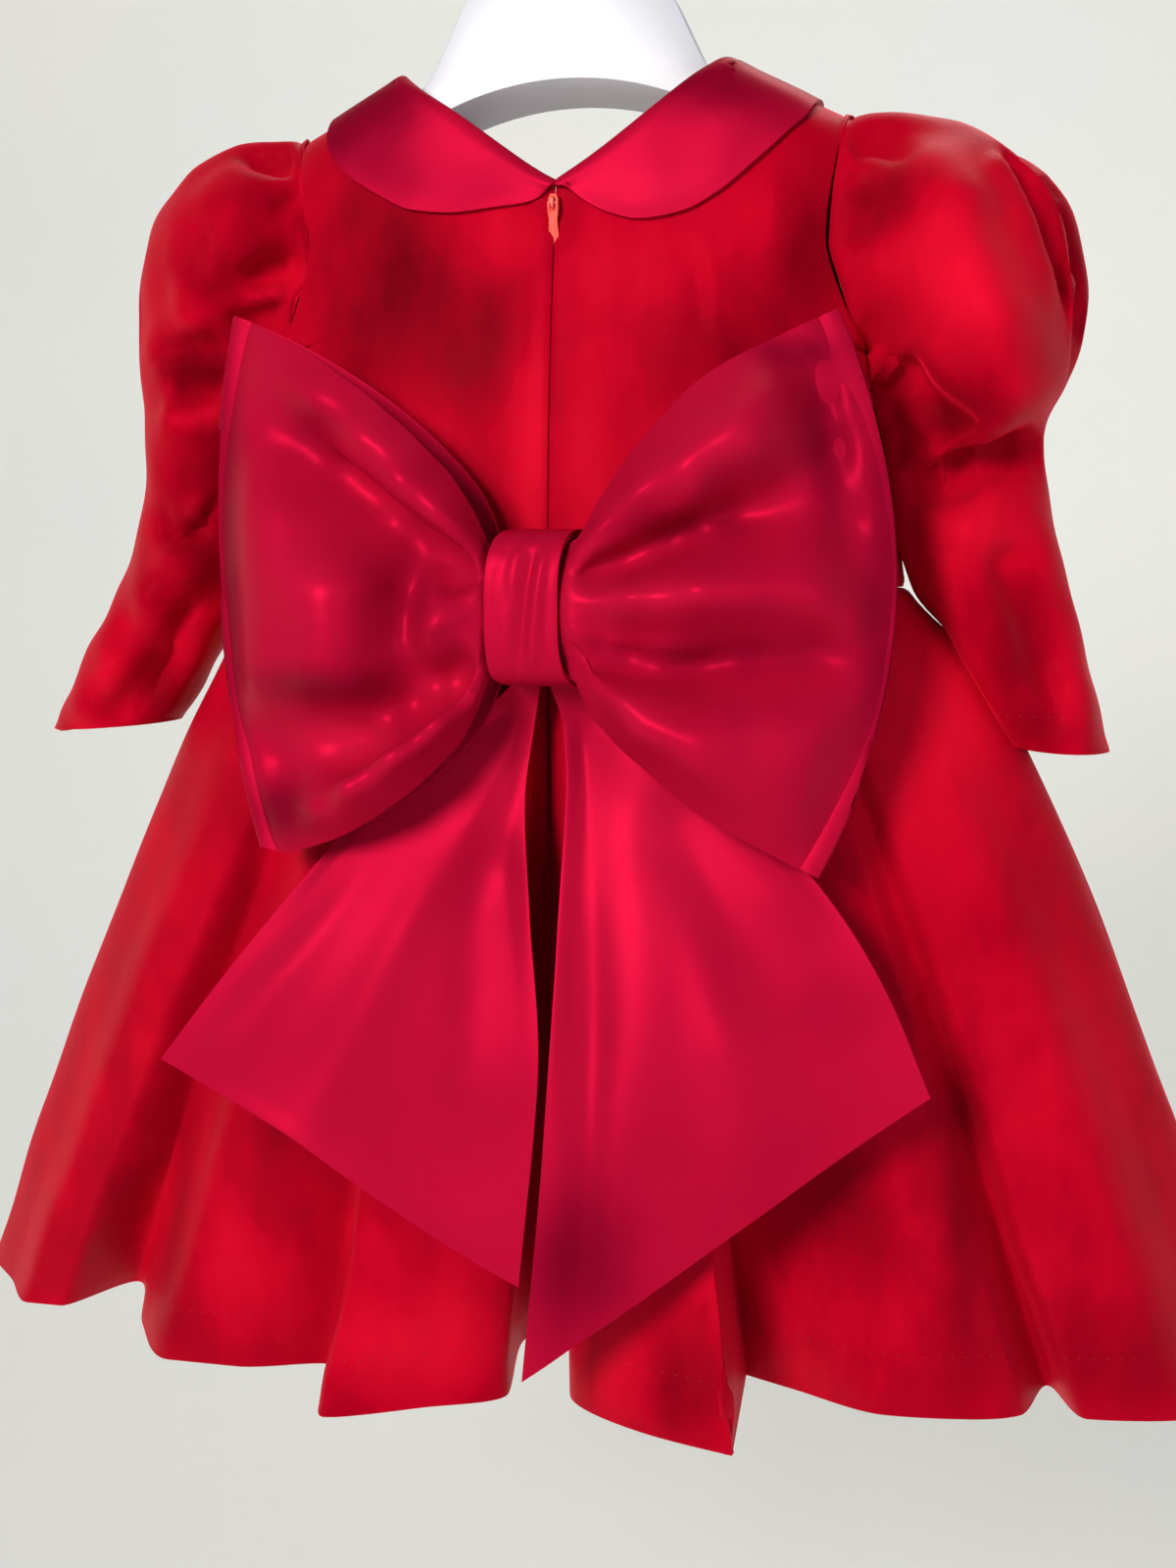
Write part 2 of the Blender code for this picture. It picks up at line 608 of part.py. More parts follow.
def bodice_normal(across, down, face):
    """The way out of the bodice's outer skin, on its right half."""
    step = 0.002
    across = min(max(across, step), 1.0 - 2 * step)
    down = max(down, 2 * step)
    wide = bodice_point(across + step, down, 1, face) - bodice_point(across - step, down, 1, face)
    long = bodice_point(across, down + step, 1, face) - bodice_point(across, down - step, 1, face)
    normal = wide.cross(long).normalized()
    return normal if normal.y * face > 0.0 else -normal


def collar_point(side, along, across):
    roll = read(COLLAR_ROLL, across)
    place = collar_ground(along, roll.share)
    outwards = bodice_normal(*place)
    ground = bodice_point(place[0], place[1], 1, place[2])
    low = max(0.0, roll.share - 0.03)
    near, far = [collar_ground(along, share) for share in (low, low + 0.06)]
    up = bodice_point(near[0], near[1], 1, near[2]) - bodice_point(far[0], far[1], 1, far[2])
    up = (up - outwards * up.dot(outwards)).normalized()
    over_seam = 0.8 * math.exp(-(((along - 0.5) / 0.05) ** 2))
    point = ground + outwards * (roll.lift + over_seam) + up * roll.rise
    return Vector((side * point.x, point.y, point.z))


def build_collar():
    along = [0.0, 0.02, 0.05, 0.10, 0.16, 0.22, 0.28, 0.34, 0.395, 0.43, 0.455, 0.472, 0.484, 0.492]
    along += [0.4965, 0.499]
    along += [0.5] + [1.0 - c for c in reversed(along)]
    across = [0.0, 0.08, 0.17, 0.27, 0.42, 0.60, 0.80, 1.0]
    for side, name in ((-1, "collar_left"), (1, "collar_right")):
        cloth(name, lambda u, v, s=side: collar_point(s, u, v), along, across, SATIN, COLLAR_WALL,
              turned=side < 0)


# ---------------------------------------------------------------- bow
LOOP_WIDE = 120.0
LOOP_TALL = 190.0


def loop_point(rows, folds, bulge, round_it, down):
    """A bow loop: round_it goes from the knot out along the near layer and back along the far one."""
    angle = math.pi * round_it
    out = math.sin(angle) ** 0.85
    row = read(rows, out)
    side = -1.0 if rows[-1].top_x < 0.0 else 1.0
    x = row.top_x + (row.low_x - row.top_x) * down + side * bulge * out ** 3 * 4.0 * down * (1.0 - down)
    z = row.top_z + (row.low_z - row.top_z) * down
    middle = (row.back_y + row.front_y) / 2
    half = (row.front_y - row.back_y) / 2
    edge = (2.0 * down - 1.0) ** 2
    closing = math.sqrt(max(0.0, 1.0 - out ** 8))
    if round_it <= 0.5:
        crown = 9.0 * edge
        pressed = fold_depth(folds, out, down, LOOP_WIDE, LOOP_TALL) * ease((0.99 - out) / 0.12)
        y = middle + (-half + crown + pressed * ease((out - 0.1) / 0.1)) * closing
    else:
        y = middle + (half - 3.0 * edge) * closing
    y -= LOOP_LEAN * max(0.0, KNOT_Z - z) * ease(out * 3)
    return Vector((x, y, z))


def tail_point(rows, folds, across, down):
    row = read(rows, down)
    x = row.inner_x + (row.outer_x - row.inner_x) * across
    z = row.inner_z + (row.outer_z - row.inner_z) * across
    y = row.inner_y + (row.outer_y - row.inner_y) * ease(across)
    y += fold_depth(folds, across, down, 150.0, 230.0) * ease((down - 0.35) * 2.5)
    return Vector((x, y, z))


def knot_point(across, turn):
    """The knot is a band round the middle of the bow, from edge to edge."""
    angle = 2 * math.pi * turn
    row = read(KNOT_EDGES, turn)
    half_depth = (KNOT_BACK_Y - KNOT_FRONT_Y) / 2
    middle_y = (KNOT_BACK_Y + KNOT_FRONT_Y) / 2
    power = 2.0 / KNOT_SQUARE
    rise = math.copysign(abs(math.cos(angle)) ** power, math.cos(angle))
    out = math.copysign(abs(math.sin(angle)) ** power, math.sin(angle))
    swell = 1.0 - 0.04 * (2.0 * across - 1.0) ** 2
    return Vector((
        row.left + (row.right - row.left) * across,
        middle_y - half_depth * out * (swell if out > 0.0 else 1.0),
        KNOT_Z + KNOT_HALF_HEIGHT * rise,
    ))


def build_bow():
    round_it = [0.0, 0.021, 0.031] + steps(8, 0.045, 0.40) + [0.44, 0.47, 0.49, 0.51, 0.53, 0.56] + steps(4, 0.62, 0.95) + [0.969, 0.979, 1.0]
    down = steps(12)
    tables = (
        ("bow_loop_left", LOOP_LEFT, LOOP_LEFT_FOLDS, LOOP_LEFT_BULGE, True),
        ("bow_loop_right", LOOP_RIGHT, LOOP_RIGHT_FOLDS, LOOP_RIGHT_BULGE, False),
    )
    for name, rows, folds, bulge, turned in tables:
        cloth(name, lambda u, v, r=rows, f=folds, b=bulge: loop_point(r, f, b, u, v),
              round_it, down, SATIN, SATIN_WALL, turned=turned)
    tails = (
        ("bow_tail_left", TAIL_LEFT, TAIL_LEFT_FOLDS, True),
        ("bow_tail_right", TAIL_RIGHT, TAIL_RIGHT_FOLDS, False),
    )
    for name, rows, folds, turned in tails:
        cloth(name, lambda u, v, r=rows, f=folds: tail_point(r, f, u, v),
              steps(10), steps(12), SATIN, SATIN_WALL, turned=turned)
    knot = cloth("bow_knot", lambda u, v: knot_point(v, u), steps(24), steps(4), SATIN, KNOT_WALL,
                 turned=True, closed=True)
    return knot


# ---------------------------------------------------------------- zip
def box(name, size, centre):
    bpy.ops.mesh.primitive_cube_add(size=1.0, location=[c * MM for c in centre])
    item = bpy.context.object
    item.name = name
    item.scale = [s * MM for s in size]
    bpy.ops.object.transform_apply(location=False, rotation=False, scale=True)
    return item


def combine(item, other, operation):
    change = item.modifiers.new(operation.title(), "BOOLEAN")
    change.operation = operation
    change.object = other
    for home in list(other.users_collection):
        home.objects.unlink(other)
    CUTTERS.objects.link(other)
    other.hide_render = True
    other.display_type = "WIRE"


def slider_front():
    """Y of the slider's outer face: the slider lies on the back seam."""
    cloth_y = bodice_point(0.0, 0.06, 1, -1).y
    return cloth_y - 0.35 - SLIDER_SIZE[1]


def pull_axis():
    return Vector((0.0, slider_front() - BRIDGE_HOLE[0] / 2, SLIDER_Z))


def build_zip():
    front = slider_front()
    slider = box("zip_slider", SLIDER_SIZE, (0.0, front + SLIDER_SIZE[1] / 2, SLIDER_Z))
    link(slider, "zip_slider", PAINTED_METAL)
    bridge = box("bridge", (BRIDGE_SIZE[0], BRIDGE_SIZE[1] + 0.5, BRIDGE_SIZE[2]),
                 (0.0, front - BRIDGE_SIZE[1] / 2 + 0.25, SLIDER_Z))
    hole = box("bridge_hole", (BRIDGE_SIZE[0] * 2, BRIDGE_HOLE[0], BRIDGE_HOLE[1]),
               (0.0, front - BRIDGE_HOLE[0] / 2, SLIDER_Z))
    combine(slider, bridge, "UNION")
    combine(slider, hole, "DIFFERENCE")

    outline = bpy.data.curves.new("zip_pull", "CURVE")
    outline.dimensions = "2D"
    outline.fill_mode = "BOTH"
    outline.extrude = PULL_THICK / 2 * MM
    half = PULL_WIDE / 2
    bar = 0.4                       # half the crossbar that hangs in the bridge
    eye = 3.4                       # length of the eye below the bar
    add_loop(outline, [(-half + 0.1, bar), (half - 0.1, bar), (half - 0.1, -eye), (half - 0.5, -eye - 2.5)]
             + arc((0.0, -PULL_LONG + half), half, 0.0, -math.pi, 10)
             + [(-half + 0.5, -eye - 2.5), (-half + 0.1, -eye)])
    add_loop(outline, [(-1.15, -bar), (-1.15, -eye), (1.15, -eye), (1.15, -bar)])
    holder = bpy.data.objects.new("pull_axis", None)
    DRESS.objects.link(holder)
    holder.location = pull_axis() * MM
    holder.rotation_euler = (math.pi / 2 - PULL_TILT, 0.0, 0.0)
    pull = link(bpy.data.objects.new("zip_pull", outline), "zip_pull", PAINTED_METAL)
    pull.parent = holder
    weld = pull.modifiers.new("Close", "WELD")
    weld.merge_threshold = 0.00001
    return slider, pull


def add_loop(outline, points):
    spline = outline.splines.new("POLY")
    spline.points.add(len(points) - 1)
    for target, (x, z) in zip(spline.points, points):
        target.co = (x * MM, z * MM, 0.0, 1.0)
    spline.use_cyclic_u = True


def arc(centre, radius, start, end, count):
    return [
        (centre[0] + radius * math.cos(start + (end - start) * i / count),
         centre[1] + radius * math.sin(start + (end - start) * i / count))
        for i in range(count + 1)
    ]


# ---------------------------------------------------------------- hanger
def build_hanger():
    centre = HANGER_ARCH_Z - HANGER_ARCH_RADIUS
    lean = math.asin(HANGER_ARCH_X / HANGER_ARCH_RADIUS)
    under = arc((0.0, centre), HANGER_ARCH_RADIUS, math.pi / 2 - lean, math.pi / 2 + lean, 20)
    left = [(-x, z) for x, z in reversed(HANGER_EDGE)]
    outline = bpy.data.curves.new("hanger_body", "CURVE")
    outline.dimensions = "2D"
    outline.fill_mode = "BOTH"
    outline.extrude = HANGER_THICK / 2 * MM
    add_loop(outline, list(HANGER_EDGE) + under + left)
    body = link(bpy.data.objects.new("hanger_body", outline), "hanger_body", PLASTIC)
    body.rotation_euler = (math.pi / 2, 0.0, 0.0)
    weld = body.modifiers.new("Close", "WELD")
    weld.merge_threshold = 0.00001
    rounding = body.modifiers.new("Moulded edge", "BEVEL")
    rounding.width = 6.0 * MM
    rounding.segments = 3
    rounding.angle_limit = math.radians(50.0)
    rounding.limit_method = "ANGLE"

    wire = bpy.data.curves.new("hanger_hook", "CURVE")
    wire.dimensions = "3D"
    wire.bevel_depth = HOOK_WIRE / 2 * MM
    wire.bevel_resolution = 2
    wire.use_fill_caps = True
    radius = HOOK_RADIUS + HOOK_WIRE / 2
    middle = -HOOK_RADIUS
    bend = arc((0.0, middle), radius, math.radians(215.0), math.radians(-35.0), 22)
    neck = [(9.0, -44.0), (3.5, -50.0), (0.8, -58.0), (0.0, -66.0), (0.0, HANGER_EDGE[0][1] + 0.3)]
    route = bend + neck
    spline = wire.splines.new("POLY")
    spline.points.add(len(route) - 1)
    for target, (x, z) in zip(spline.points, route):
        target.co = (x * MM, 0.0, z * MM, 1.0)
    return link(bpy.data.objects.new("hanger_hook", wire), "hanger_hook", CHROME)


# ---------------------------------------------------------------- the whole dress
for old in list(bpy.data.objects):
    bpy.data.objects.remove(old)

DRESS = bpy.data.collections.new("toddler_party_dress")
CUTTERS = bpy.data.collections.new("cutters")
bpy.context.scene.collection.children.link(DRESS)
bpy.context.scene.collection.children.link(CUTTERS)

VELVET = make_material("cotton_velvet", (0.62, 0.0, 0.012), 0.85, sheen=0.6)
SATIN = make_material("duchess_satin", (0.55, 0.008, 0.035), 0.42)
PLASTIC = make_material("moulded_polystyrene", (0.86, 0.88, 0.92), 0.35)
CHROME = make_material("chromed_wire", (0.75, 0.76, 0.78), 0.15, metallic=1.0)
PAINTED_METAL = make_material("lacquered_zip", (0.75, 0.03, 0.02), 0.35)

build_hanger()
build_bodice()
build_skirt()
build_sleeves()
build_collar()
build_bow()
build_zip()
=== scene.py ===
"""Toddler party dress on a moulded hanger: cloth, satin bow, zip and hanger in their finish.

Each sewn piece is a thin shell over its solid's form, with its creases, turned hems and
seams. X points right and Y away, seen from behind the dress, and Z up. The origin is the
inside top of the hanger's hook. Sizes in the tables are in millimetres.
"""

import math
from collections import namedtuple

import bmesh
import bpy
import numpy as np
from mathutils import Matrix, Vector


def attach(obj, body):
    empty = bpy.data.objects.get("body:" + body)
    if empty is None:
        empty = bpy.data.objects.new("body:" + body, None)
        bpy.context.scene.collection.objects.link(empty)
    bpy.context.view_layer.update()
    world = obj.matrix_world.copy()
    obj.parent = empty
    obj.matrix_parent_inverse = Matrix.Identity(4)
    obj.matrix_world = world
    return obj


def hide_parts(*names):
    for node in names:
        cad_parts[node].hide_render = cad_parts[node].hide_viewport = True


bl_info = {
    "name": "Toddler Party Dress",
    "version": (1, 0, 0),
    "blender": (4, 5, 0),
    "location": "3D View > Sidebar > Dress",
    "description": "Builds a velvet party dress with a satin bow on its hanger",
    "category": "Add Mesh",
}

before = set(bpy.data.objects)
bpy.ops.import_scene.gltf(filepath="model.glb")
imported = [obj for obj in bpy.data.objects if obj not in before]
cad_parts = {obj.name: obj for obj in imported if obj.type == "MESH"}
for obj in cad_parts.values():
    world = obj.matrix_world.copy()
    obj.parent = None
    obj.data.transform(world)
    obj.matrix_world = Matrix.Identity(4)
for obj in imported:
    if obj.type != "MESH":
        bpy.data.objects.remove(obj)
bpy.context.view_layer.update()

MM = 0.001

SEAM = 0.15             # gap between the outer skins of two pieces sewn together
VELVET_WALL = 1.5
SATIN_WALL = 1.3

# ---------------------------------------------------------------- driving sizes
NECK_X = 65.0           # half the neck opening, at the shoulder seams
NECK_Z = -156.0
SHOULDER_X = 109.0
SHOULDER_Z = -176.5
BACK_NECK_Z = -204.0
FRONT_NECK_Z = -222.0
UNDERARM_Z = -262.0
WAIST_Z = -352.0
HEM_Z = -672.0
ARMHOLE_DEPTH = 24.0    # half the armhole, front to back
ARMHOLE_SQUARE = 3.6    # how square the armhole is: 2 is an ellipse
ARMHOLE_MIDDLE = (SHOULDER_Z + UNDERARM_Z) / 2
ARMHOLE_HALF = (SHOULDER_Z - UNDERARM_Z) / 2
ROUND = 2.6             # how square the body's rounded sections are: 2 is an ellipse
NECK_SQUARE = 10.0      # how square the neck opening is, seen from above
SHOULDER_ROLL = 24.0    # fall over which the cloth turns down from the shoulder seam

HANGER_THICK = 25.0
HANGER_ARCH_RADIUS = 120.0
HANGER_ARCH_Z = -164.0
HANGER_ARCH_X = 92.0
HANGER_SLANT = 6.0      # how much higher the near edge of its underside is than the far one
HOOK_RADIUS = 20.0
HOOK_WIRE = 3.6
HOOK_NECK = ((9.0, -44.0), (3.5, -50.0), (0.8, -58.0), (0.0, -66.0))  # from its bend down

KNOT_Z = -358.5
KNOT_HALF_HEIGHT = 28.5
KNOT_BACK_Y = -49.0
KNOT_FRONT_Y = -95.0
KNOT_WALL = 2.4
KNOT_SQUARE = 3.4

SLIDER_Z = -208.5
SLIDER_DOWN = 0.06      # its place on the bodice, as a share of the way down
SLIDER_LIFT = 0.525     # the pull's axis then lies on its hinge
SLIDER_SIZE = (4.0, 2.2, 7.0)
BRIDGE_SIZE = (1.2, 2.0, 4.6)
BRIDGE_HOLE = (1.4, 3.0)        # out from the slider, and along it
PULL_WIDE = 4.2
PULL_LONG = 18.0
PULL_THICK = 0.8
PULL_EYE = (0.4, 3.4, 1.15)     # bar above it, its foot and half its width
PULL_TILT = math.radians(11.0)  # the pull lies along the sloping back

# ---------------------------------------------------------------- tables of the body
Side = namedtuple("Side", "height reach")
SIDES = (
    Side(-352, 133),
    Side(-298, 124.5),
    Side(-262, 116),
    Side(-245, 108.5),
    Side(-222, 102),
    Side(-196, 105),
    Side(-176.5, 109),
)

Depth = namedtuple("Depth", "height back front")
DEPTHS = (
    Depth(-352, 48, 44),
    Depth(-300, 46, 42),
    Depth(-240, 39, 37),
    Depth(-201, 32, 31.5),
    Depth(-150, 27, 28),
)

Pleat = namedtuple("Pleat", "waist_x hem_x hem_y")
PLEAT_OPENING = 1.2     # above 1 the pleats stay flat for longer below the waist
BACK_LEFT_PLEATS = (
    Pleat(0, -8, 12),         # centre-back seam, at the bottom of the inverted pleat
    Pleat(-3, -20, -15),
    Pleat(-6, -14, -60),      # edge of the box pleat left of the centre
    Pleat(-18, -45, -79),
    Pleat(-30, -80, -94),
    Pleat(-34, -95, -50),
    Pleat(-46, -130, -60),
    Pleat(-58, -160, -60),
    Pleat(-66, -186, -30),
    Pleat(-72, -208, 12),     # valley before the side gore
    Pleat(-80, -230, -20),
    Pleat(-98, -246, -20),
    Pleat(-118, -266, 2),
    Pleat(-132.7, -288.5, 27),
    Pleat(-133, -290, 40),    # side seam
)
BACK_RIGHT_PLEATS = (
    Pleat(0, -8, 12),
    Pleat(3, 4, -20),
    Pleat(6, 11, -58),        # edge of the box pleat right of the centre
    Pleat(18, 45, -81),
    Pleat(30, 80, -91),
    Pleat(34, 77, -24),
    Pleat(44, 98, -33),
    Pleat(58, 134, -47),
    Pleat(72, 165, -44),
    Pleat(82, 186, -36),
    Pleat(87, 197, -8),       # valley before the side gore
    Pleat(94, 211, -34),
    Pleat(108, 245, -28),
    Pleat(120, 270, 4),
    Pleat(132.7, 288.5, 28),
    Pleat(133, 290, 40),
)
FRONT_PLEATS = (
    Pleat(133, 290, 40),
    Pleat(132.7, 288.5, 52),
    Pleat(119, 266, 68),
    Pleat(104, 232, 60),
    Pleat(90, 200, 40),
    Pleat(76, 170, 66),
    Pleat(60, 132, 68),
    Pleat(46, 100, 38),
    Pleat(30, 66, 62),
    Pleat(12, 26, 68),
    Pleat(0, -4, 36),
    Pleat(-12, -34, 66),
    Pleat(-30, -70, 64),
    Pleat(-46, -104, 40),
    Pleat(-60, -134, 66),
    Pleat(-76, -172, 68),
    Pleat(-90, -202, 42),
    Pleat(-104, -234, 62),
    Pleat(-119, -268, 67),
    Pleat(-132.7, -288.5, 52),
    Pleat(-133, -290, 40),
)

# ---------------------------------------------------------------- tables of the sleeves
Ring = namedtuple("Ring", "place x z tilt half_width half_depth valley back_lobe front_lobe")
SLEEVE_RIGHT = (
    Ring(0.00, 112, -219, -5, 43, 24, 0, 0, 0),
    Ring(0.12, 129, -221, 12, 46, 35, 2, 0, 0),
    Ring(0.28, 151, -238, 38, 49.8, 42, 7, 0, 13),
    Ring(0.42, 158.3, -259, 62, 41.6, 43, 9, 0, 13),
    Ring(0.53, 158.5, -282, 80, 35.5, 40, 7, 0, 4),
    Ring(0.59, 156.5, -295, 82, 30.5, 35, 3, 0, 0),
    Ring(0.63, 155.5, -305, 84, 28.5, 29, 0, 0, 0),
    Ring(0.74, 160.5, -334, 88, 29, 28, 0, 0, 0),
    Ring(0.88, 176.5, -375, 92, 25.5, 26, 0, 0, 0),
    Ring(1.00, 193.5, -414, 92, 18.5, 24, 0, 0, 0),
)
SLEEVE_LEFT = (
    Ring(0.00, 112, -219, -5, 43, 24, 0, 0, 0),
    Ring(0.12, 128.5, -219, 10, 45, 34, 3, 0, 0),
    Ring(0.28, 147, -236, 36, 43, 40, 9, 0, 11),
    Ring(0.42, 151.5, -262, 66, 33, 39, 6, 2, 3),
    Ring(0.53, 153.5, -287, 80, 28, 36, 3, 0, 0),
    Ring(0.63, 156.5, -312, 86, 24.5, 32, 2, 0, 0),
    Ring(0.74, 165, -340, 92, 25, 29, 0, 0, 0),
    Ring(0.88, 180.5, -376, 96, 29, 27, 0, 0, 0),
    Ring(1.00, 202, -413, 94, 27.5, 25, 0, 0, 0),
)
GATHERS = 7
GATHER_RISE = 2.4

# ---------------------------------------------------------------- tables of folds
# A fold runs from one place to another on its piece; a ridge has a negative depth.
Fold = namedtuple("Fold", "from_across from_down to_across to_down width depth")
TAIL_LEFT_FOLDS = (
    Fold(0.35, 0.05, 0.62, 0.95, 14, 5),
    Fold(0.72, 0.30, 0.90, 0.95, 12, -4),
)
TAIL_RIGHT_FOLDS = (
    Fold(0.10, 0.10, 0.14, 0.98, 9, 4),
    Fold(0.45, 0.15, 0.60, 0.95, 16, -5),
)

# ---------------------------------------------------------------- tables of the satin pieces
Loop = namedtuple("Loop", "out top_x top_z low_x low_z back_y front_y")
LOOP_LEFT = (
    Loop(0.00, 3.1, -346, 3.1, -373, -83, -59.5),
    Loop(0.10, -12.8, -336, -12.3, -382, -91.6, -58),
    Loop(0.13, -14.5, -332, -14, -387, -93.5, -58),
    Loop(0.18, -20, -319, -19, -400, -95, -58),
    Loop(0.30, -35, -301, -33, -418, -98, -57),
    Loop(0.50, -60, -280, -56, -436, -97, -58),
    Loop(0.72, -88, -263, -80, -448, -88, -59),
    Loop(0.90, -107, -254, -98, -452.5, -77, -60),
    Loop(1.00, -116, -250.5, -106, -451, -66, -63),
)
LOOP_RIGHT = (
    Loop(0.00, 3.9, -346, 3.9, -373, -83, -59.5),
    Loop(0.10, 14.5, -336, 14.5, -382, -91.6, -58),
    Loop(0.14, 20.2, -333, 19.6, -385, -94.5, -58),
    Loop(0.18, 27, -321, 26, -399, -95.5, -58),
    Loop(0.30, 40, -302, 41, -413, -98, -57),
    Loop(0.50, 61, -279, 64, -431, -97, -58),
    Loop(0.72, 85, -265, 85, -443, -88, -59),
    Loop(0.90, 101, -257, 99, -451, -77, -60),
    Loop(1.00, 108.5, -253.5, 106, -454.5, -66, -63),
)
LOOP_LEFT_BULGE = 14.0
LOOP_RIGHT_BULGE = 25.0
LOOP_LEAN = 0.12        # the loops stand further out the lower they are, over the skirt

Tail = namedtuple("Tail", "down inner_x inner_z outer_x outer_z inner_y outer_y")
TAIL_LEFT = (
    Tail(0.00, 1.5, -387.4, -9, -387.4, -66, -66),
    Tail(0.10, -2, -402, -24, -400, -60, -58.5),
    Tail(0.25, -5, -430, -56, -424, -64, -59.5),
    Tail(0.50, 0, -474, -94, -465, -78, -65),
    Tail(0.75, 6.5, -530, -124, -502, -93, -72),
    Tail(1.00, 1.5, -608, -150.5, -537.5, -104, -78),
)
TAIL_RIGHT = (
    Tail(0.00, 5, -387.4, 17, -387.4, -66, -66),
    Tail(0.10, 8.5, -402, 32, -400, -60, -58.5),
    Tail(0.25, 11, -430, 66, -424, -65, -59.5),
    Tail(0.50, 11, -482, 108, -462, -81, -65),
    Tail(0.75, 9.5, -553, 132, -497, -97, -72),
    Tail(1.00, 3.5, -643, 149, -534, -108, -78),
)

# A collar half goes from the centre back, over the shoulder at 0.5, to the centre front.
Collar = namedtuple("Collar", "along neck_x edge_x edge_z")
COLLAR_LEFT = (
    Collar(0.00, 2.2, 2.6, -203.4),
    Collar(0.02, 3, 5.5, -206.2),
    Collar(0.05, 5.5, 11.2, -208.2),
    Collar(0.11, 12, 24.6, -209.6),
    Collar(0.18, 20, 39.1, -210.8),
    Collar(0.26, 30, 55.7, -209.2),
    Collar(0.33, 40, 69.7, -202.8),
    Collar(0.40, 50, 83.4, -193.6),
    Collar(0.44, 56, 89.6, -186.5),
    Collar(0.47, 60.5, 92, -179),
    Collar(0.50, 65, 92, -168.6),
    Collar(0.60, 56, 83, -195),
    Collar(0.70, 45, 69, -214),
    Collar(0.80, 31, 49, -233),
    Collar(0.90, 16, 27, -243),
    Collar(0.96, 7, 12, -241),
    Collar(1.00, 3.4, 3.9, -232),
)
COLLAR_RIGHT = (
    Collar(0.00, 3.4, 4.6, -202.6),
    Collar(0.02, 4.2, 7.6, -205),
    Collar(0.05, 7, 12.6, -208.6),
    Collar(0.10, 11, 21, -212.8),
    Collar(0.16, 18, 33, -215.6),
    Collar(0.24, 28, 48, -213.4),
    Collar(0.32, 39, 61.5, -206.6),
    Collar(0.39, 49, 74.5, -196),
    Collar(0.45, 57.5, 87.5, -184.5),
    Collar(0.48, 61.5, 93.5, -178.4),
    Collar(0.50, 65, 96, -170.4),
    Collar(0.60, 56, 86, -195),
    Collar(0.70, 45, 69, -216.5),
    Collar(0.80, 31, 49, -235),
    Collar(0.90, 16, 27, -245),
    Collar(0.96, 7, 12, -243),
    Collar(1.00, 3.4, 3.9, -233),
)
# The collar stands in the neck, rolls over and lies on the bodice.
Roll = namedtuple("Roll", "across share lift rise")
COLLAR_ROLL = (
    Roll(0.00, 0.00, -0.2, 3.2),
    Roll(0.08, 0.00, 0.9, 4.4),
    Roll(0.17, 0.02, 2.4, 3.9),
    Roll(0.27, 0.08, 3.6, 1.8),
    Roll(0.42, 0.25, 3.2, 0.4),
    Roll(0.65, 0.58, 2.9, 0),
    Roll(1.00, 1.00, 2.7, 0),
)
COLLAR_WALL = 1.8

Band = namedtuple("Band", "turn left right")
KNOT_EDGES = (                      # turn 0 is the top, 0.25 the side that is seen, 0.5 the bottom
    Band(0.00, -6.5, 19),
    Band(0.12, -10.5, 16),
    Band(0.25, -12.5, 14.5),
    Band(0.38, -11.5, 16),
    Band(0.50, -7, 19),
    Band(0.75, -7, 18),
    Band(1.00, -6.5, 19),
)

HANGER_EDGE = (                     # right half, from the neck of the hanger to its arm
    (11, -86),
    (12.5, -94),
    (20, -105),
    (31, -115),
    (40, -128),
    (49, -146),
    (55, -156.4),
    (63, -162),
    (91, -172.3),
    (98, -180),
    (100, -191),
    (98, -205),
)

# ---------------------------------------------------------------- the bow's large forms
# Places on a loop's near layer, as x, z and how far it stands towards the viewer there. The
# cloth runs through them as one smooth sheet.
LOOP_LEFT_FORMS = (
    (-114, -251, 0), (-95, -260, 0), (-79, -269, 0), (-60, -281, 0), (-41, -295, 0), (-27, -310, 0),
    (-15, -330, 0), (-117, -271, 0), (-120, -293, 0), (-121, -314, 0), (-124, -338, 0),
    (-123, -359, 0), (-122, -383, 0), (-118, -400, 0), (-114, -424, 0), (-108, -443, 0),
    (-105, -451, 0), (-80, -445, -6), (-61, -437, -6), (-41, -424, -6), (-26, -408, -6),
    (-17, -392, -2), (-14, -337, 0), (-13, -351, 0), (-13, -369, 0), (-13, -383, 0),
    (-86, -276, 4.5), (-77, -285, 6), (-57, -299, 9), (-41, -313, 12), (-27, -324, 10.5),
    (-20, -336, 6), (-91, -289, -4), (-82, -297, -10), (-69, -309, -16), (-57, -319, -18),
    (-41, -332, -18), (-27, -340, -14), (-17, -345, -8), (-102, -312, 6), (-87, -322, 6),
    (-101, -333, 12), (-82, -336, 10.5), (-66, -339, 6), (-100, -351, 15), (-82, -351, 18),
    (-62, -355, 13.5), (-101, -367, 13.5), (-81, -368, 15), (-62, -370, 12), (-112, -394, 4.5),
    (-93, -397, 0), (-74, -397, -8), (-58, -398, -12), (-102, -383, 12), (-77, -385, 10.5),
    (-59, -385, 4.5), (-116, -414, -5), (-98, -416, -8.7), (-80, -414, -9.9), (-87, -428, -4),
    (-72, -418, -10), (-58, -407, -14), (-42, -396, -18), (-26, -386, -16), (-19, -379, -10),
    (-98, -438, 1.5), (-80, -431, 6), (-62, -423, 12), (-44, -409, 13.5), (-29, -398, 12),
    (-19, -387, 6), (-43, -342, -18), (-46, -353, -16), (-45, -366, -12), (-45, -379, -12),
    (-54, -350, 6), (-54, -366, 4.5), (-32, -352, -4), (-32, -366, 3), (-32, -376, -6),
    (-22, -356, 0), (-22, -366, 1.5), (-24, -348, -8),
)
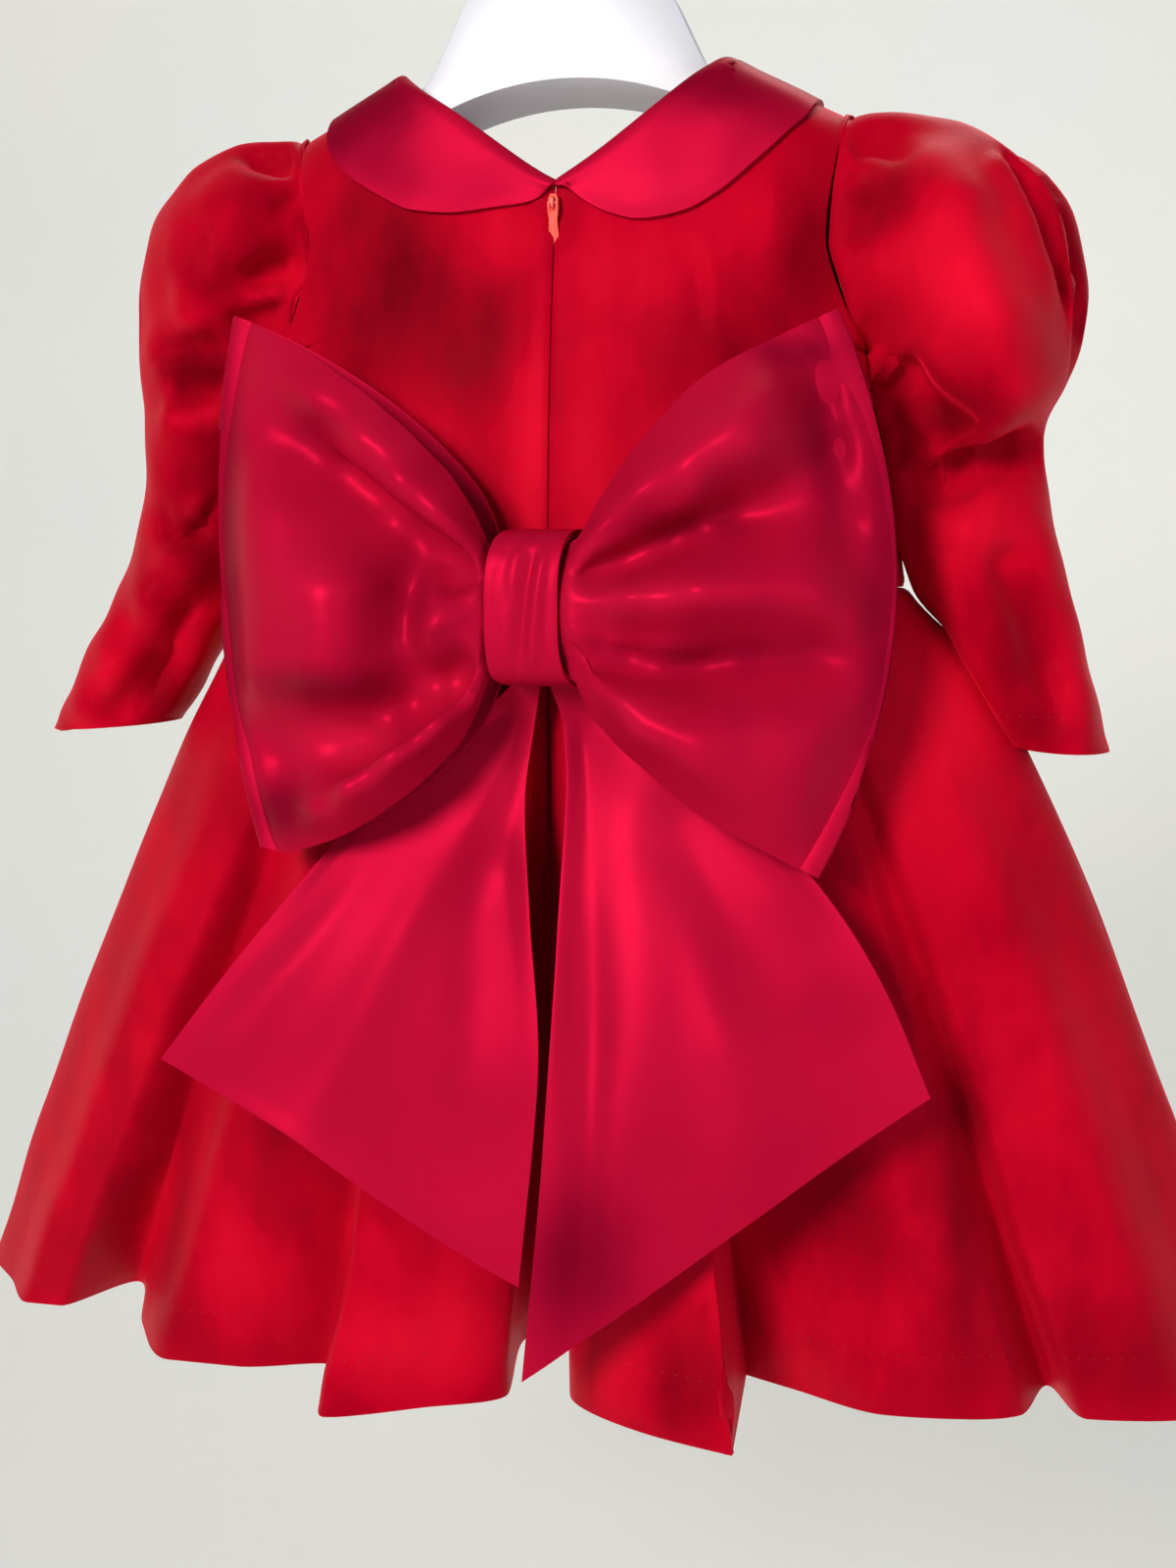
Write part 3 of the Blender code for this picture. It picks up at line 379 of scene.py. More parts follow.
LOOP_RIGHT_FORMS = (
    (20, -336, 0), (27, -325, 0), (38, -314, 0), (52, -300, 0), (69, -286, 0), (87, -274, 0),
    (101, -263, 0), (109, -257, 0), (112, -269, 0), (118, -286, 0), (123, -303, 0), (128, -324, 0),
    (131, -341, 0), (132, -362, 0), (130, -382, 0), (125, -403, 0), (118, -425, 0), (112, -442, 0),
    (106, -453, 0), (95, -445, -1.9), (79, -435, -3.8), (62, -424, -5.7), (47, -412, -5.7),
    (34, -398, -3.8), (23, -387, 0), (20, -340, 0), (17, -351, 0), (17, -368, 0), (20, -382, 0),
    (29, -330, 4.2), (43, -319, 8.4), (61, -306, 12.6), (78, -293, 14), (90, -284, 8.4),
    (64, -316, 8.4), (84, -306, 9.8), (96, -296, 4.2), (95, -270, -5.7), (104, -269, -5.7),
    (105, -282, -11.4), (112, -302, -13.3), (120, -327, -11.4), (125, -346, -5.7), (23, -346, -7.6),
    (37, -341, -15.2), (54, -332, -19), (75, -322, -17.1), (92, -315, -9.5), (107, -319, -5.7),
    (27, -355, 1.4), (42, -353, 5.6), (65, -350, 8.4), (84, -351, 8.4), (105, -355, 8.4),
    (120, -362, 5.6), (98, -338, 1.4), (110, -339, 0), (23, -368, -9.5), (39, -374, -17.1),
    (66, -378, -19), (84, -376, -15.2), (104, -373, -11.4), (122, -372, -5.7), (29, -380, 1.4),
    (39, -388, 7), (57, -399, 9.8), (76, -395, 5.6), (92, -393, 2.8), (111, -390, 1.4),
    (44, -401, 7), (65, -414, 7), (85, -420, 7), (102, -431, 4.2), (99, -408, 8.4),
    (115, -402, 4.2), (85, -405, 7),
)
# The same for the sleeves, on their side that is seen and, less, on their hidden side.
SLEEVE_LEFT_FORMS = (
    (-125, -181, 0), (-116, -179, 0), (-148, -184, 0), (-165, -203, 0), (-160, -219, 0),
    (-162, -227, 0), (-157, -239, 0), (-163, -257, 0), (-165, -269, 0), (-162, -280, 0),
    (-178, -302, 0), (-167, -320, 0), (-174, -344, 0), (-185, -368, 0), (-218, -395, 0),
    (-229, -414, 0), (-209, -413, 0), (-195, -412, 0), (-181, -412, 0), (-175, -411, 0),
    (-107, -187, 0), (-107, -198, 0), (-104, -209, 0), (-105, -224, 0), (-108, -235, 0),
    (-111, -250, 0), (-134, -274, 0), (-136, -297, 0), (-141, -321, 0), (-146, -343, 0),
    (-154, -369, 0), (-164, -390, 0), (-119, -187, -4.2), (-120, -195, 4.2), (-111, -205, 5.6),
    (-113, -216, 2.8), (-108, -201, -2.8), (-134, -205, 5.6), (-144, -218, 4.2), (-130, -221, 8.4),
    (-120, -222, 7), (-111, -227, -5.6), (-121, -232, -5.6), (-130, -237, -2.8), (-118, -238, 5.6),
    (-131, -247, 7), (-146, -236, 5.6), (-153, -249, 2.8), (-142, -254, 5.6), (-120, -248, -2.8),
    (-177, -258, -4.2), (-145, -261, -5.6), (-133, -262, -4.2), (-148, -271, -4.2),
    (-138, -271, -8.4), (-147, -278, -2.8), (-156, -283, 5.6), (-145, -287, 7), (-137, -282, 4.2),
    (-151, -299, 4.2), (-159, -314, 2.8), (-143, -302, 4.2), (-163, -324, -5.6), (-152, -330, -5.6),
    (-144, -317, -5.6), (-148, -325, 4.2), (-161, -338, 4.2), (-152, -343, 1.4), (-172, -358, 5.6),
    (-160, -362, -5.6), (-190, -386, 5.6), (-172, -382, -5.6), (-206, -403, 4.2),
    (-189, -404, -4.2), (-183, -410, 1.4), (-168, -379, -1.4), (-156, -367, 1.4), (-169, -400, 1.4),
)
SLEEVE_RIGHT_FORMS = (
    (109, -177, 0), (127, -179, 0), (143, -179, 0), (159, -186, 0), (106, -193, 0), (104, -209, 0),
    (103, -225, 0), (109, -245, 0), (114, -252, 0), (191, -207, 0), (196, -221, 0), (199, -241, 0),
    (196, -264, 0), (193, -272, 0), (183, -294, 0), (185, -318, 0), (192, -347, 0), (201, -374, 0),
    (210, -409, 0), (194, -414, 0), (175, -413, 0), (132, -323, 0), (138, -345, 0), (156, -372, 0),
    (165, -392, 0), (120, -277, 0), (126, -297, 0), (129, -312, 0), (116, -197, -4.2),
    (124, -194, -2.8), (122, -204, 4.2), (136, -195, 4.2), (148, -196, 4.2), (141, -213, 9.8),
    (129, -223, 7), (157, -211, 8.4), (118, -235, 4.2), (142, -234, 12.6), (162, -233, 11.2),
    (156, -254, 14), (174, -253, 11.2), (177, -271, 9.8), (166, -272, 12.6), (175, -284, 9.8),
    (159, -294, 7), (145, -303, 4.2), (163, -185, -2.8), (170, -211, -5.6), (180, -225, -7),
    (187, -242, -8.4), (193, -255, -7), (195, -267, -5.6), (181, -197, 1.4), (195, -216, 2.8),
    (199, -236, 2.8), (117, -255, -4.2), (126, -271, -8.4), (133, -287, -9.8), (141, -298, -8.4),
    (137, -262, 4.2), (147, -273, -4.2), (156, -283, -4.2), (151, -290, -8.4), (182, -296, -7),
    (167, -302, -14), (152, -308, -14), (135, -311, -8.4), (143, -321, -2.8), (160, -315, -5.6),
    (177, -307, -7), (157, -328, 4.2), (144, -333, 4.2), (178, -325, 0), (171, -341, -5.6),
    (161, -352, 1.4), (181, -359, -4.2), (188, -345, 2.8), (173, -373, 1.4), (187, -380, -4.2),
    (197, -386, 2.8), (184, -400, -2.8), (174, -400, 1.4), (201, -406, 1.4),
)

# ---------------------------------------------------------------- how the cloth's pile lies, with painted shade and light
# Patches where the cloth is painted darker (below 0) or brighter: x, z, half width, half height
# and shade. On the velvet they are partly where its pile was brushed and partly painted shade
# and light; on the satin they are painted shade and painted highlights.
NAP_AND_SHADE = {
    "bodice_back_left": (
        (-71, -229, 36, 42, -0.8), (-30, -256, 19, 34, -0.45), (-5, -301, 10, 49, 0.9),
        (-22, -224, 19, 15, 0.4), (-46, -292, 19, 23, 0.1),
    ),
    "bodice_back_right": (
        (15, -254, 13, 46, 0.35), (45, -235, 27, 21, 0.35), (68, -257, 19, 23, -0.35),
        (95, -225, 13, 30, -0.6), (16, -311, 11, 27, 0.7), (72, -217, 15, 11, 0.2),
    ),
    "sleeve_left": (
        (-131, -218, 34, 46, -0.25), (-109, -234, 9, 7, 0.6), (-108, -194, 9, 6, 0.5),
        (-142, -286, 11, 5, 0.7), (-149, -265, 19, 8, -0.6), (-189, -390, 8, 23, 0.5),
        (-174, -396, 6, 23, -0.5), (-204, -412, 8, 5, 0.5), (-156, -332, 11, 11, -0.5),
        (-132, -249, 19, 8, 0.3),
    ),
    "sleeve_right": (
        (152, -242, 32, 34, 0.9), (124, -213, 17, 14, -0.9), (154, -286, 18, 12, -1),
        (186, -236, 11, 34, -0.3), (160, -328, 23, 17, 0.9), (146, -352, 11, 15, 0.5),
        (176, -370, 10, 23, -0.5), (197, -386, 8, 27, 0.6), (184, -405, 15, 8, -0.3),
        (176, -281, 15, 8, 0.4),
    ),
    "skirt_back_left": (
        (-206, -598, 12, 42, -0.5), (-163, -500, 19, 46, 0.2), (-168, -616, 12, 50, -1),
        (-127, -632, 19, 23, 0.45), (-46, -647, 30, 23, 0.8), (-104, -563, 19, 23, -0.6),
        (-212, -575, 11, 46, 0.35),
    ),
    "skirt_back_right": (
        (148, -421, 30, 65, 0.9), (188, -547, 27, 57, 0.45), (225, -647, 23, 19, -0.4),
        (133, -632, 27, 23, 0.15), (60, -654, 15, 23, -0.45), (32, -654, 11, 19, 0.5),
        (162, -578, 8, 57, -0.8), (115, -594, 19, 23, -0.35),
    ),
    "collar_left": (
        (-82, -180, 22, 17, -1), (-65, -169, 16, 15, -0.9), (-30, -200, 23, 12, -0.35),
        (-62, -198, 17, 12, -0.5),
    ),
    "collar_right": (
        (57, -167, 22, 13, -0.9), (84, -178, 15, 13, -0.35), (31, -206, 27, 9, 0.5),
        (16, -199, 8, 8, 0.2),
    ),
    "bow_loop_left": (
        (-121, -345, 9, 95, -0.85), (-77, -337, 23, 23, 0.3), (-96, -436, 15, 12, -1),
        (-43, -350, 11, 23, -0.4), (-72, -387, 34, 8, -0.7), (-71, -409, 23, 8, 0.6),
        (-77, -297, 23, 11, -0.5), (-32, -387, 15, 8, 0.5), (-57, -299, 19, 8, 0.4),
    ),
    "bow_loop_right": (
        (108, -295, 10, 34, -0.8), (94, -268, 15, 6, -0.7), (68, -297, 23, 19, 0.35),
        (44, -352, 30, 5, 0.5), (74, -375, 42, 7, -0.7), (59, -329, 30, 5, -0.5),
        (93, -409, 23, 23, 0.15), (42, -396, 15, 11, 0.4), (129, -350, 10, 95, -0.85),
    ),
    "bow_tail_left": (
        (-83, -487, 30, 23, 0.35), (-22, -483, 11, 46, -0.3), (-42, -554, 23, 30, -0.1),
        (-123, -524, 15, 15, 0.1), (-19, -411, 11, 19, 0.3),
    ),
    "bow_tail_right": (
        (40, -460, 23, 46, 0.5), (24, -597, 22, 30, -1), (82, -527, 27, 30, 0.1),
        (117, -501, 19, 15, -0.3), (12, -424, 5, 30, -0.4),
    ),
}

# ---------------------------------------------------------------- creases
# A crease runs on a curve through three places, seen from the back or the front. It pushes
# the cloth in, or out where the depth is negative, and its lip stands up on its left side.
Crease = namedtuple("Crease", "x0 z0 x1 z1 x2 z2 width depth lip")
LOOP_LEFT_BACK = (
    Crease(-79.6, -300.4, -46.2, -323.7, -10.8, -346.7, 4.4, 4.2, 1.8),
    Crease(-76.8, -421.6, -39.2, -399.8, -12.4, -375.3, 4.4, 4.6, -2),
    Crease(-32.3, -350.8, -19.6, -348.4, -12.8, -345.4, 3, 2.2, 0),
    Crease(-34.6, -372.9, -21.7, -365.3, -12.6, -361.5, 5, 1.5, 0),
)
LOOP_RIGHT_BACK = (
    Crease(17.2, -347, 43.9, -336.8, 82.6, -316.5, 4.4, 4.2, 1.8),
    Crease(17, -370.3, 36.7, -377.3, 78.7, -379.2, 4.4, 4.2, 1.6),
    Crease(17.1, -358.1, 34.3, -357, 54.7, -355.1, 5, 1.2, 0),
)
LOOP_LEFT_FRONT = (
    Crease(-14, -348, -46, -330, -84, -300, 9, 2, 0.8),
    Crease(-14, -368, -50, -392, -92, -424, 9, 2, 0.8),
    Crease(-24, -358, -56, -362, -90, -352, 11, 1.6, 0),
)
LOOP_RIGHT_FRONT = (
    Crease(16, -350, 54, -334, 92, -306, 9, 2, 0.8),
    Crease(16, -368, 50, -384, 96, -430, 9, 2, 0.8),
    Crease(26, -360, 62, -366, 98, -372, 11, 1.6, 0),
)
TAIL_LEFT_BACK = (
    Crease(-4, -392, -22, -430, -60, -500, 12, 2.6, 1),
    Crease(0, -394, -3.5, -402, -2.6, -424, 2.4, 1.8, 1),
    Crease(-18, -402, -60, -436, -108, -478, 12, -2, 0),
    Crease(-12, -440, -18, -500, -16, -570, 16, -2.4, 0),
)
TAIL_RIGHT_BACK = (
    Crease(12, -396, 22, -460, 30, -560, 13, 2.6, 1),
    Crease(22, -398, 64, -440, 112, -486, 12, -2, 0),
    Crease(44, -424, 70, -470, 84, -520, 14, 1.8, 0),
)
KNOT_BACK = (
    Crease(6.4, -334, 2.4, -358, 0.4, -385, 2.6, 2.4, 1.3),
    Crease(12.5, -338, 11, -360, 12.6, -382, 1.2, 0.9, 0.5),
    Crease(-7.5, -340, -9, -358, -7, -380, 2.4, 0.8, 0),
    Crease(-3, -334, -5, -346, -3.4, -362, 2.6, 0.6, 0.4),
)
SLEEVE_LEFT_BACK = (
    Crease(-117.9, -178.5, -110.8, -189.6, -139.8, -180, 3.6, 4.6, 1.8),
    Crease(-104.6, -199.3, -107.6, -203.8, -113.9, -208.9, 3, 3.6, 1.4),
    Crease(-105, -224.3, -115.3, -225.8, -127.6, -233.6, 4.2, 6, -2.4),
    Crease(-108.1, -243.6, -120.7, -245.7, -132.8, -249.8, 4, 3.4, -1.6),
    Crease(-168.5, -261.4, -144.8, -259.5, -131.2, -261.4, 4, 3.6, -1.6),
    Crease(-154.9, -270.1, -141.6, -274.3, -133.4, -264.8, 4.2, 4.2, 1.8),
    Crease(-169.2, -326.2, -151.3, -330.2, -139.9, -309.9, 3.6, 4.6, 1.8),
    Crease(-147.1, -332.1, -175.4, -373.6, -206.3, -411.3, 7, -4, 0),
    Crease(-153.1, -356.2, -169.4, -385.9, -187.8, -412, 5, 4, 1.6),
    Crease(-157.3, -354.7, -166.6, -378.9, -180.8, -411.5, 1.4, 1.4, 0),
    Crease(-135.3, -214.5, -140.4, -224.3, -144.6, -238.3, 6, 3, 1.2),
)
SLEEVE_LEFT_FRONT = (
    Crease(-101, -191, -114, -195, -130, -191, 3.8, 4, 1.8),
    Crease(-101, -212, -116, -218, -134, -220, 4.2, 3.4, 1.6),
    Crease(-103, -231, -117, -238, -136, -247, 4.4, 4, 1.8),
    Crease(-106, -252, -122, -259, -140, -272, 4.6, 3.2, 1.4),
    Crease(-166, -284, -150, -280, -130, -284, 5, 3.4, 1.6),
    Crease(-168, -318, -156, -322, -142, -318, 5, 3, 1.6),
    Crease(-150, -340, -166, -370, -184, -412, 7, 2.4, 1.2),
)
SLEEVE_RIGHT_BACK = (
    Crease(110.5, -193.1, 119.2, -190.2, 132, -198.4, 4, 4.2, -1.8),
    Crease(104.8, -209.2, 111.7, -211.8, 120.6, -214.5, 3.6, 2.6, 1.2),
    Crease(105, -224.4, 111.5, -227.3, 119.7, -225.9, 3.6, 2.2, 1),
    Crease(163.5, -188.8, 179.6, -215, 193.7, -259.5, 4, 6, -3),
    Crease(181.2, -196.9, 186.7, -200.9, 189.5, -204.7, 3.6, 2.4, 1),
    Crease(129.3, -311.9, 156.3, -305.4, 183.9, -291.9, 4.6, 8, 3.4),
    Crease(123.2, -281.9, 131.6, -294.4, 143.7, -306.7, 4, 4.4, 1.8),
    Crease(128.1, -264.1, 142.2, -285.1, 162.4, -294.9, 6.5, 7.5, 2.6),
    Crease(133.2, -317.3, 148, -316.2, 163, -310.9, 4, 2.4, 0),
    Crease(167, -336.2, 177.4, -363.5, 196.3, -412, 6, 4, -1.6),
    Crease(146.5, -336.8, 156.4, -367.5, 177.9, -413.5, 6, -2.4, 0),
)
SLEEVE_RIGHT_FRONT = (
    Crease(101, -190, 118, -194, 136, -188, 4, 4.2, 2),
    Crease(101, -209, 118, -214, 138, -214, 4.4, 3.2, 1.6),
    Crease(103, -230, 120, -238, 142, -248, 4.6, 4.2, 2),
    Crease(106, -254, 126, -266, 150, -276, 5, 3.4, 1.6),
    Crease(178, -296, 158, -302, 130, -308, 5.4, 3.6, 2),
    Crease(174, -324, 160, -332, 146, -330, 5.4, 2.8, 1.4),
    Crease(158, -344, 172, -378, 190, -412, 8, 2.4, 1),
)
BODICE_BACK = (
    Crease(-24, -226, -30, -268, -26, -318, 15, 1.4, 0),
    Crease(-58, -222, -66, -262, -60, -312, 17, -1.2, 0),
    Crease(-96, -262, -84, -272, -66, -276, 8, 1.6, 0.8),
    Crease(52, -222, 56, -240, 57, -262, 3, 0.9, 0.7),
    Crease(28, -224, 34, -270, 28, -324, 16, 1.3, 0),
    Crease(98, -262, 84, -270, 64, -272, 8, 1.5, 0.8),
    Crease(96, -196, 84, -208, 74, -226, 9, 1.2, 0),
)
BODICE_FRONT = (
    Crease(-94, -258, -78, -268, -58, -272, 8, 1.5, 0.8),
    Crease(94, -260, 76, -270, 54, -272, 8, 1.6, 0.8),
    Crease(-34, -262, -38, -300, -30, -342, 16, 1.3, 0),
    Crease(36, -258, 42, -302, 34, -344, 16, 1.4, 0),
    Crease(0, -256, 3, -290, -2, -340, 18, -1, 0),
)
SKIRT_BACK = (
    Crease(-121.3, -450, -156, -529.8, -214, -668, 9, -2.4, 0),
    Crease(-112, -440, -140, -528, -190, -668, 11, 2.6, 0),
    Crease(-130, -372, -176, -470, -244, -640, 15, 1.6, 0),
    Crease(-60, -560, -74, -610, -88, -668, 10, 2, 0.8),
    Crease(-36, -540, -46, -600, -58, -668, 16, -2, 0),
    Crease(110.1, -447.1, 146.5, -542.7, 187.5, -668, 10, 3, 1.4),
    Crease(134, -400, 186, -510, 246, -650, 15, -2, 0),
    Crease(120, -372, 162, -470, 210, -600, 12, 1.6, 0),
    Crease(44, -590, 56, -630, 60, -668, 12, 1.8, 0),
    Crease(96, -540, 118, -600, 128, -668, 12, 2, 0.8),
)
SKIRT_FRONT = (
    Crease(-118, -372, -160, -490, -226, -668, 14, 2.2, 0.8),
    Crease(-44, -374, -62, -500, -86, -668, 13, 2, 0),
    Crease(6, -372, 12, -500, 14, -668, 14, -1.6, 0),
    Crease(52, -374, 74, -500, 106, -668, 13, 1.8, 0.8),
    Crease(112, -372, 158, -500, 222, -668, 14, 2.2, 0),
    Crease(-88, -420, -112, -530, -150, -668, 11, -1.6, 0),
    Crease(90, -400, 118, -520, 150, -668, 11, -1.6, 0),
)

# ---------------------------------------------------------------- the cut of a sheet
# The bounding size of the flat cut of what shows, in millimetres, and its area in square metres. No
# sheet's cut is listed.
Cut = namedtuple("Cut", "wide long area held on")

# ---------------------------------------------------------------- sewing
HEM_DEPTH = 24.0        # cloth turned up inside the hem
CUFF_DEPTH = 15.0
TURN_UP = 2.0           # stretch over which a turned hem thins to one layer
SEAM_DIP = 1.1          # how far a seam's edges turn in
SEAM_REACH = 3.2
EDGE_FREE = 8.0         # creases fade out this near to a piece's edges
EDGE_ROUND = 0.35       # rounding of a cut edge, as a share of the wall
EDGE_STEPS = (0.0, 0.45, 1.0, 1.8, 2.9)
CELL = 2.6              # side of a cell of the cloth's grid

CREASE_STEPS = 12       # straight stretches of a crease's curve
CREASE_START = 0.18     # shares of its length over which a crease starts and ends
CREASE_END = 0.25
CREASE_CRISP = 0.02     # how round a crease's bottom is: 0 is a sharp line
CREASE_FOOT = 0.28      # how much wider a crease gets at its foot
LIP_SIDE = 1.45         # a crease is steeper toward its lip, and softer on the other side
FAR_SIDE = 0.72
LIP_OFF = 1.7           # the lip's place and width, in widths of the crease
LIP_WIDE = 0.9
FACING = (-0.30, 0.55)  # how far a surface faces the viewer where creases begin, and their fade
SHEET_STIFF = 0.002     # how little a sheet bends between two of its forms


# ---------------------------------------------------------------- shared functions
def linear(code):
    """A colour from its sRGB hex code, as linear red, green and blue."""
    parts = [int(code[i:i + 2], 16) / 255.0 for i in (0, 2, 4)]
    return tuple(c / 12.92 if c <= 0.04045 else ((c + 0.055) / 1.055) ** 2.4 for c in parts)


def fill(socket, value):
    """Give a socket its value; a colour is made opaque."""
    socket.default_value = (*value, 1.0) if socket.type == "RGBA" else value


def add(tree, kind, inputs=None, **settings):
    """Add a node to a tree, with its settings, values and links."""
    item = tree.nodes.new(kind)
    for name, value in settings.items():
        setattr(item, name, value)
    for name, value in (inputs or {}).items():
        if isinstance(value, bpy.types.NodeSocket):
            tree.links.new(value, item.inputs[name])
        else:
            fill(item.inputs[name], value)
    return item


def ease(t):
    """0 to 1 with a soft start and end."""
    t = np.clip(t, 0.0, 1.0)
    return t * t * (3.0 - 2.0 * t)


def between(value, start, rise, end, fall):
    """1 between two places and 0 outside them, with a soft rise and fall of these lengths."""
    return ease((value - start) / rise) * ease((end - value) / fall)


def hump(off, wide):
    """1 in the middle, and less and less beyond about that width."""
    return np.exp(-((off / wide) ** 2))


def rounded(share, square):
    """From 1 down to 0 as the share goes from 0 to 1, the later the higher square is."""
    return np.sqrt(np.maximum(0.0, 1.0 - share ** square))


def stack(x, y, z):
    return np.stack(np.broadcast_arrays(x, y, z), axis=-1).astype(float)


def power(value, exponent):
    """A power that keeps the sign."""
    return np.copysign(np.abs(value) ** exponent, value)


def read(table, key):
    """The columns of a table at keys in its first column, on smooth curves through the rows."""
    rows = np.array(table, float)
    keys = rows[:, 0]
    values = rows[:, 1:]
    spans = np.diff(keys)
    rates = np.diff(values, axis=0) / spans[:, None]
    before, after = rates[:-1], rates[1:]
    weight_before = (2.0 * spans[1:] + spans[:-1])[:, None]
    weight_after = (spans[1:] + 2.0 * spans[:-1])[:, None]
    level = before * after <= 0.0
    shares = (weight_before / np.where(level, 1.0, before)
              + weight_after / np.where(level, 1.0, after))
    knees = np.where(level, 0.0, (weight_before + weight_after) / np.where(level, 1.0, shares))
    slopes = np.vstack([rates[:1], knees, rates[-1:]])
    key = np.clip(np.asarray(key, float), keys[0], keys[-1])
    first = np.clip(np.searchsorted(keys, key, side="right") - 1, 0, len(keys) - 2)
    span = spans[first][..., None]
    t = (key - keys[first])[..., None] / span
    curve = values[first] * (1 + 2 * t) * (1 - t) ** 2 + values[first + 1] * t * t * (3 - 2 * t)
    curve += span * slopes[first] * t * (1 - t) ** 2 - span * slopes[first + 1] * t * t * (1 - t)
    return np.moveaxis(curve, -1, 0)


def spread_out(long, cell=CELL, start=True, end=True):
    """Places from 0 to 1 along a piece of that length, close together at its edges."""
    head = [s / long for s in EDGE_STEPS] if start else [0.0]
    tail = [1.0 - s / long for s in reversed(EDGE_STEPS)] if end else [1.0]
    count = max(2, round((tail[0] - head[-1]) * long / cell))
    return np.concatenate([head[:-1], np.linspace(head[-1], tail[0], count + 1), tail[1:]])


def fold_depth(folds, across, down, wide, long):
    """How far all folds together push a piece in, at a place on it."""
    total = 0.0
    for fold in folds:
        run_x = (fold.to_across - fold.from_across) * wide
        run_y = (fold.to_down - fold.from_down) * long
        x = (across - fold.from_across) * wide
        y = (down - fold.from_down) * long
        along = (x * run_x + y * run_y) / (run_x ** 2 + run_y ** 2)
        off = np.hypot(x - run_x * along, y - run_y * along)
        ends = between(along, -0.15, 0.30, 1.15, 0.30)
        total = total + fold.depth * ends * hump(off, fold.width)
    return total


def outwards(points, turned, closed):
    """The way out of the cloth's outer skin, at every point of a grid."""
    if closed:
        along = np.roll(points, -1, axis=1) - np.roll(points, 1, axis=1)
    else:
        along = np.gradient(points, axis=1)
    down = np.gradient(points, axis=0)
    way = np.cross(along, down) if turned else np.cross(down, along)
    return way / np.maximum(np.linalg.norm(way, axis=-1, keepdims=True), 1e-9)


def beside_line(x, z, path):
    """How far places are from a line, how far along it, and 1 where they are on its left."""
    nearest = np.full(x.shape, 1e9)
    along = np.zeros(x.shape)
    left = np.ones(x.shape)
    for i, (low, high) in enumerate(zip(path, path[1:])):
        run = high - low
        share = ((x - low[0]) * run[0] + (z - low[1]) * run[1]) / (run @ run)
        share = np.clip(share, 0.0, 1.0)
        off_x = x - low[0] - share * run[0]
        off_z = z - low[1] - share * run[1]
        off = np.hypot(off_x, off_z)
        closer = off < nearest
        nearest = np.where(closer, off, nearest)
        along = np.where(closer, (i + share) / (len(path) - 1), along)
        left = np.where(closer, np.sign(run[0] * off_z - run[1] * off_x), left)
    return nearest, along, left


def pushed_in(points, way, creases, face, seen=FACING):
    """How far the creases push the cloth in, on the side of it that faces back or front."""
    total = np.zeros(points.shape[:2])
    t = np.linspace(0.0, 1.0, CREASE_STEPS + 1)[:, None]
    for crease in creases:
        start = np.array([crease.x0, crease.z0])
        end = np.array([crease.x2, crease.z2])
        bend = 2.0 * np.array([crease.x1, crease.z1]) - (start + end) / 2.0
        path = (1 - t) ** 2 * start + 2 * t * (1 - t) * bend + t * t * end
        nearest, along, left = beside_line(points[..., 0], points[..., 2], path)
        off = nearest / crease.width
        if crease.lip:
            off = off * np.where(left * crease.lip > 0.0, LIP_SIDE, FAR_SIDE)
        if crease.depth > 0.0:
            crisp = np.sqrt(off ** 2 + CREASE_CRISP) - math.sqrt(CREASE_CRISP)
            off = np.sqrt(crisp) * (1.0 - CREASE_FOOT + CREASE_FOOT * np.minimum(off, 2.0))
        lip_side = -1.0 if crease.lip < 0.0 else 1.0
        from_lip = left * nearest * lip_side - LIP_OFF * crease.width
        lip = abs(crease.lip) * hump(from_lip, LIP_WIDE * crease.width)
        ends = between(along, 0.0, CREASE_START, 1.0, CREASE_END)
        total += ends * (crease.depth * hump(off, 1.0) - lip)
    return total * ease((way[..., 1] * face - seen[0]) / seen[1])


def lifted(points, forms):
    """How far a piece stands out at its points, on a smooth sheet through its forms."""
    forms = np.array(forms, float)
    places, lifts = forms[:, :2] / 100.0, forms[:, 2]

    def bend(a, b):
        far = np.linalg.norm(a[:, None] - b[None], axis=2)
        return far ** 2 * np.log(np.maximum(far, 1e-9))

    count = len(places)
    flat = np.hstack([np.ones((count, 1)), places])
    system = np.zeros((count + 3, count + 3))
    system[:count, :count] = bend(places, places) + SHEET_STIFF * np.eye(count)
    system[:count, count:] = flat
    system[count:, :count] = flat.T
    weights = np.linalg.solve(system, np.concatenate([lifts, np.zeros(3)]))
    spots = points[..., [0, 2]].reshape(-1, 2) / 100.0
    lift = bend(spots, places) @ weights[:count] + weights[count] + spots @ weights[count + 1:]
    return lift.reshape(points.shape[:-1])


def rumple(points, seed, long, high):
    """A soft unevenness of the cloth, in waves about that long and high."""
    draw = np.random.default_rng(seed)
    total = 0.0
    for _ in range(7):
        way = draw.normal(size=3)
        way *= 2.0 * math.pi / (np.linalg.norm(way) * long * draw.uniform(0.7, 1.6))
        total = total + np.sin(points @ way + draw.uniform(0.0, 2.0 * math.pi))
    return high * total / 2.6


def lengths(points, closed):
    """The distance along the cloth from its first column, and from its first row."""
    down = np.linalg.norm(np.diff(points, axis=0), axis=2)
    down = np.vstack([np.zeros((1, points.shape[1])), np.cumsum(down, axis=0)])
    ring = np.concatenate([points, points[:, :1]], axis=1) if closed else points
    along = np.linalg.norm(np.diff(ring, axis=1), axis=2)
    along = np.hstack([np.zeros((points.shape[0], 1)), np.cumsum(along, axis=1)])
    return along, down


def edge_distance(points, closed, edges):
    """The distance along the cloth from the nearest of the named edges."""
    along, down = lengths(points, closed)
    far = {"top": down, "bottom": down[-1:] - down, "first": along, "last": along[:, -1:] - along}
    nearest = np.full(points.shape[:2], 1e3)
    for edge in edges:
        nearest = np.minimum(nearest, far[edge])
    return nearest


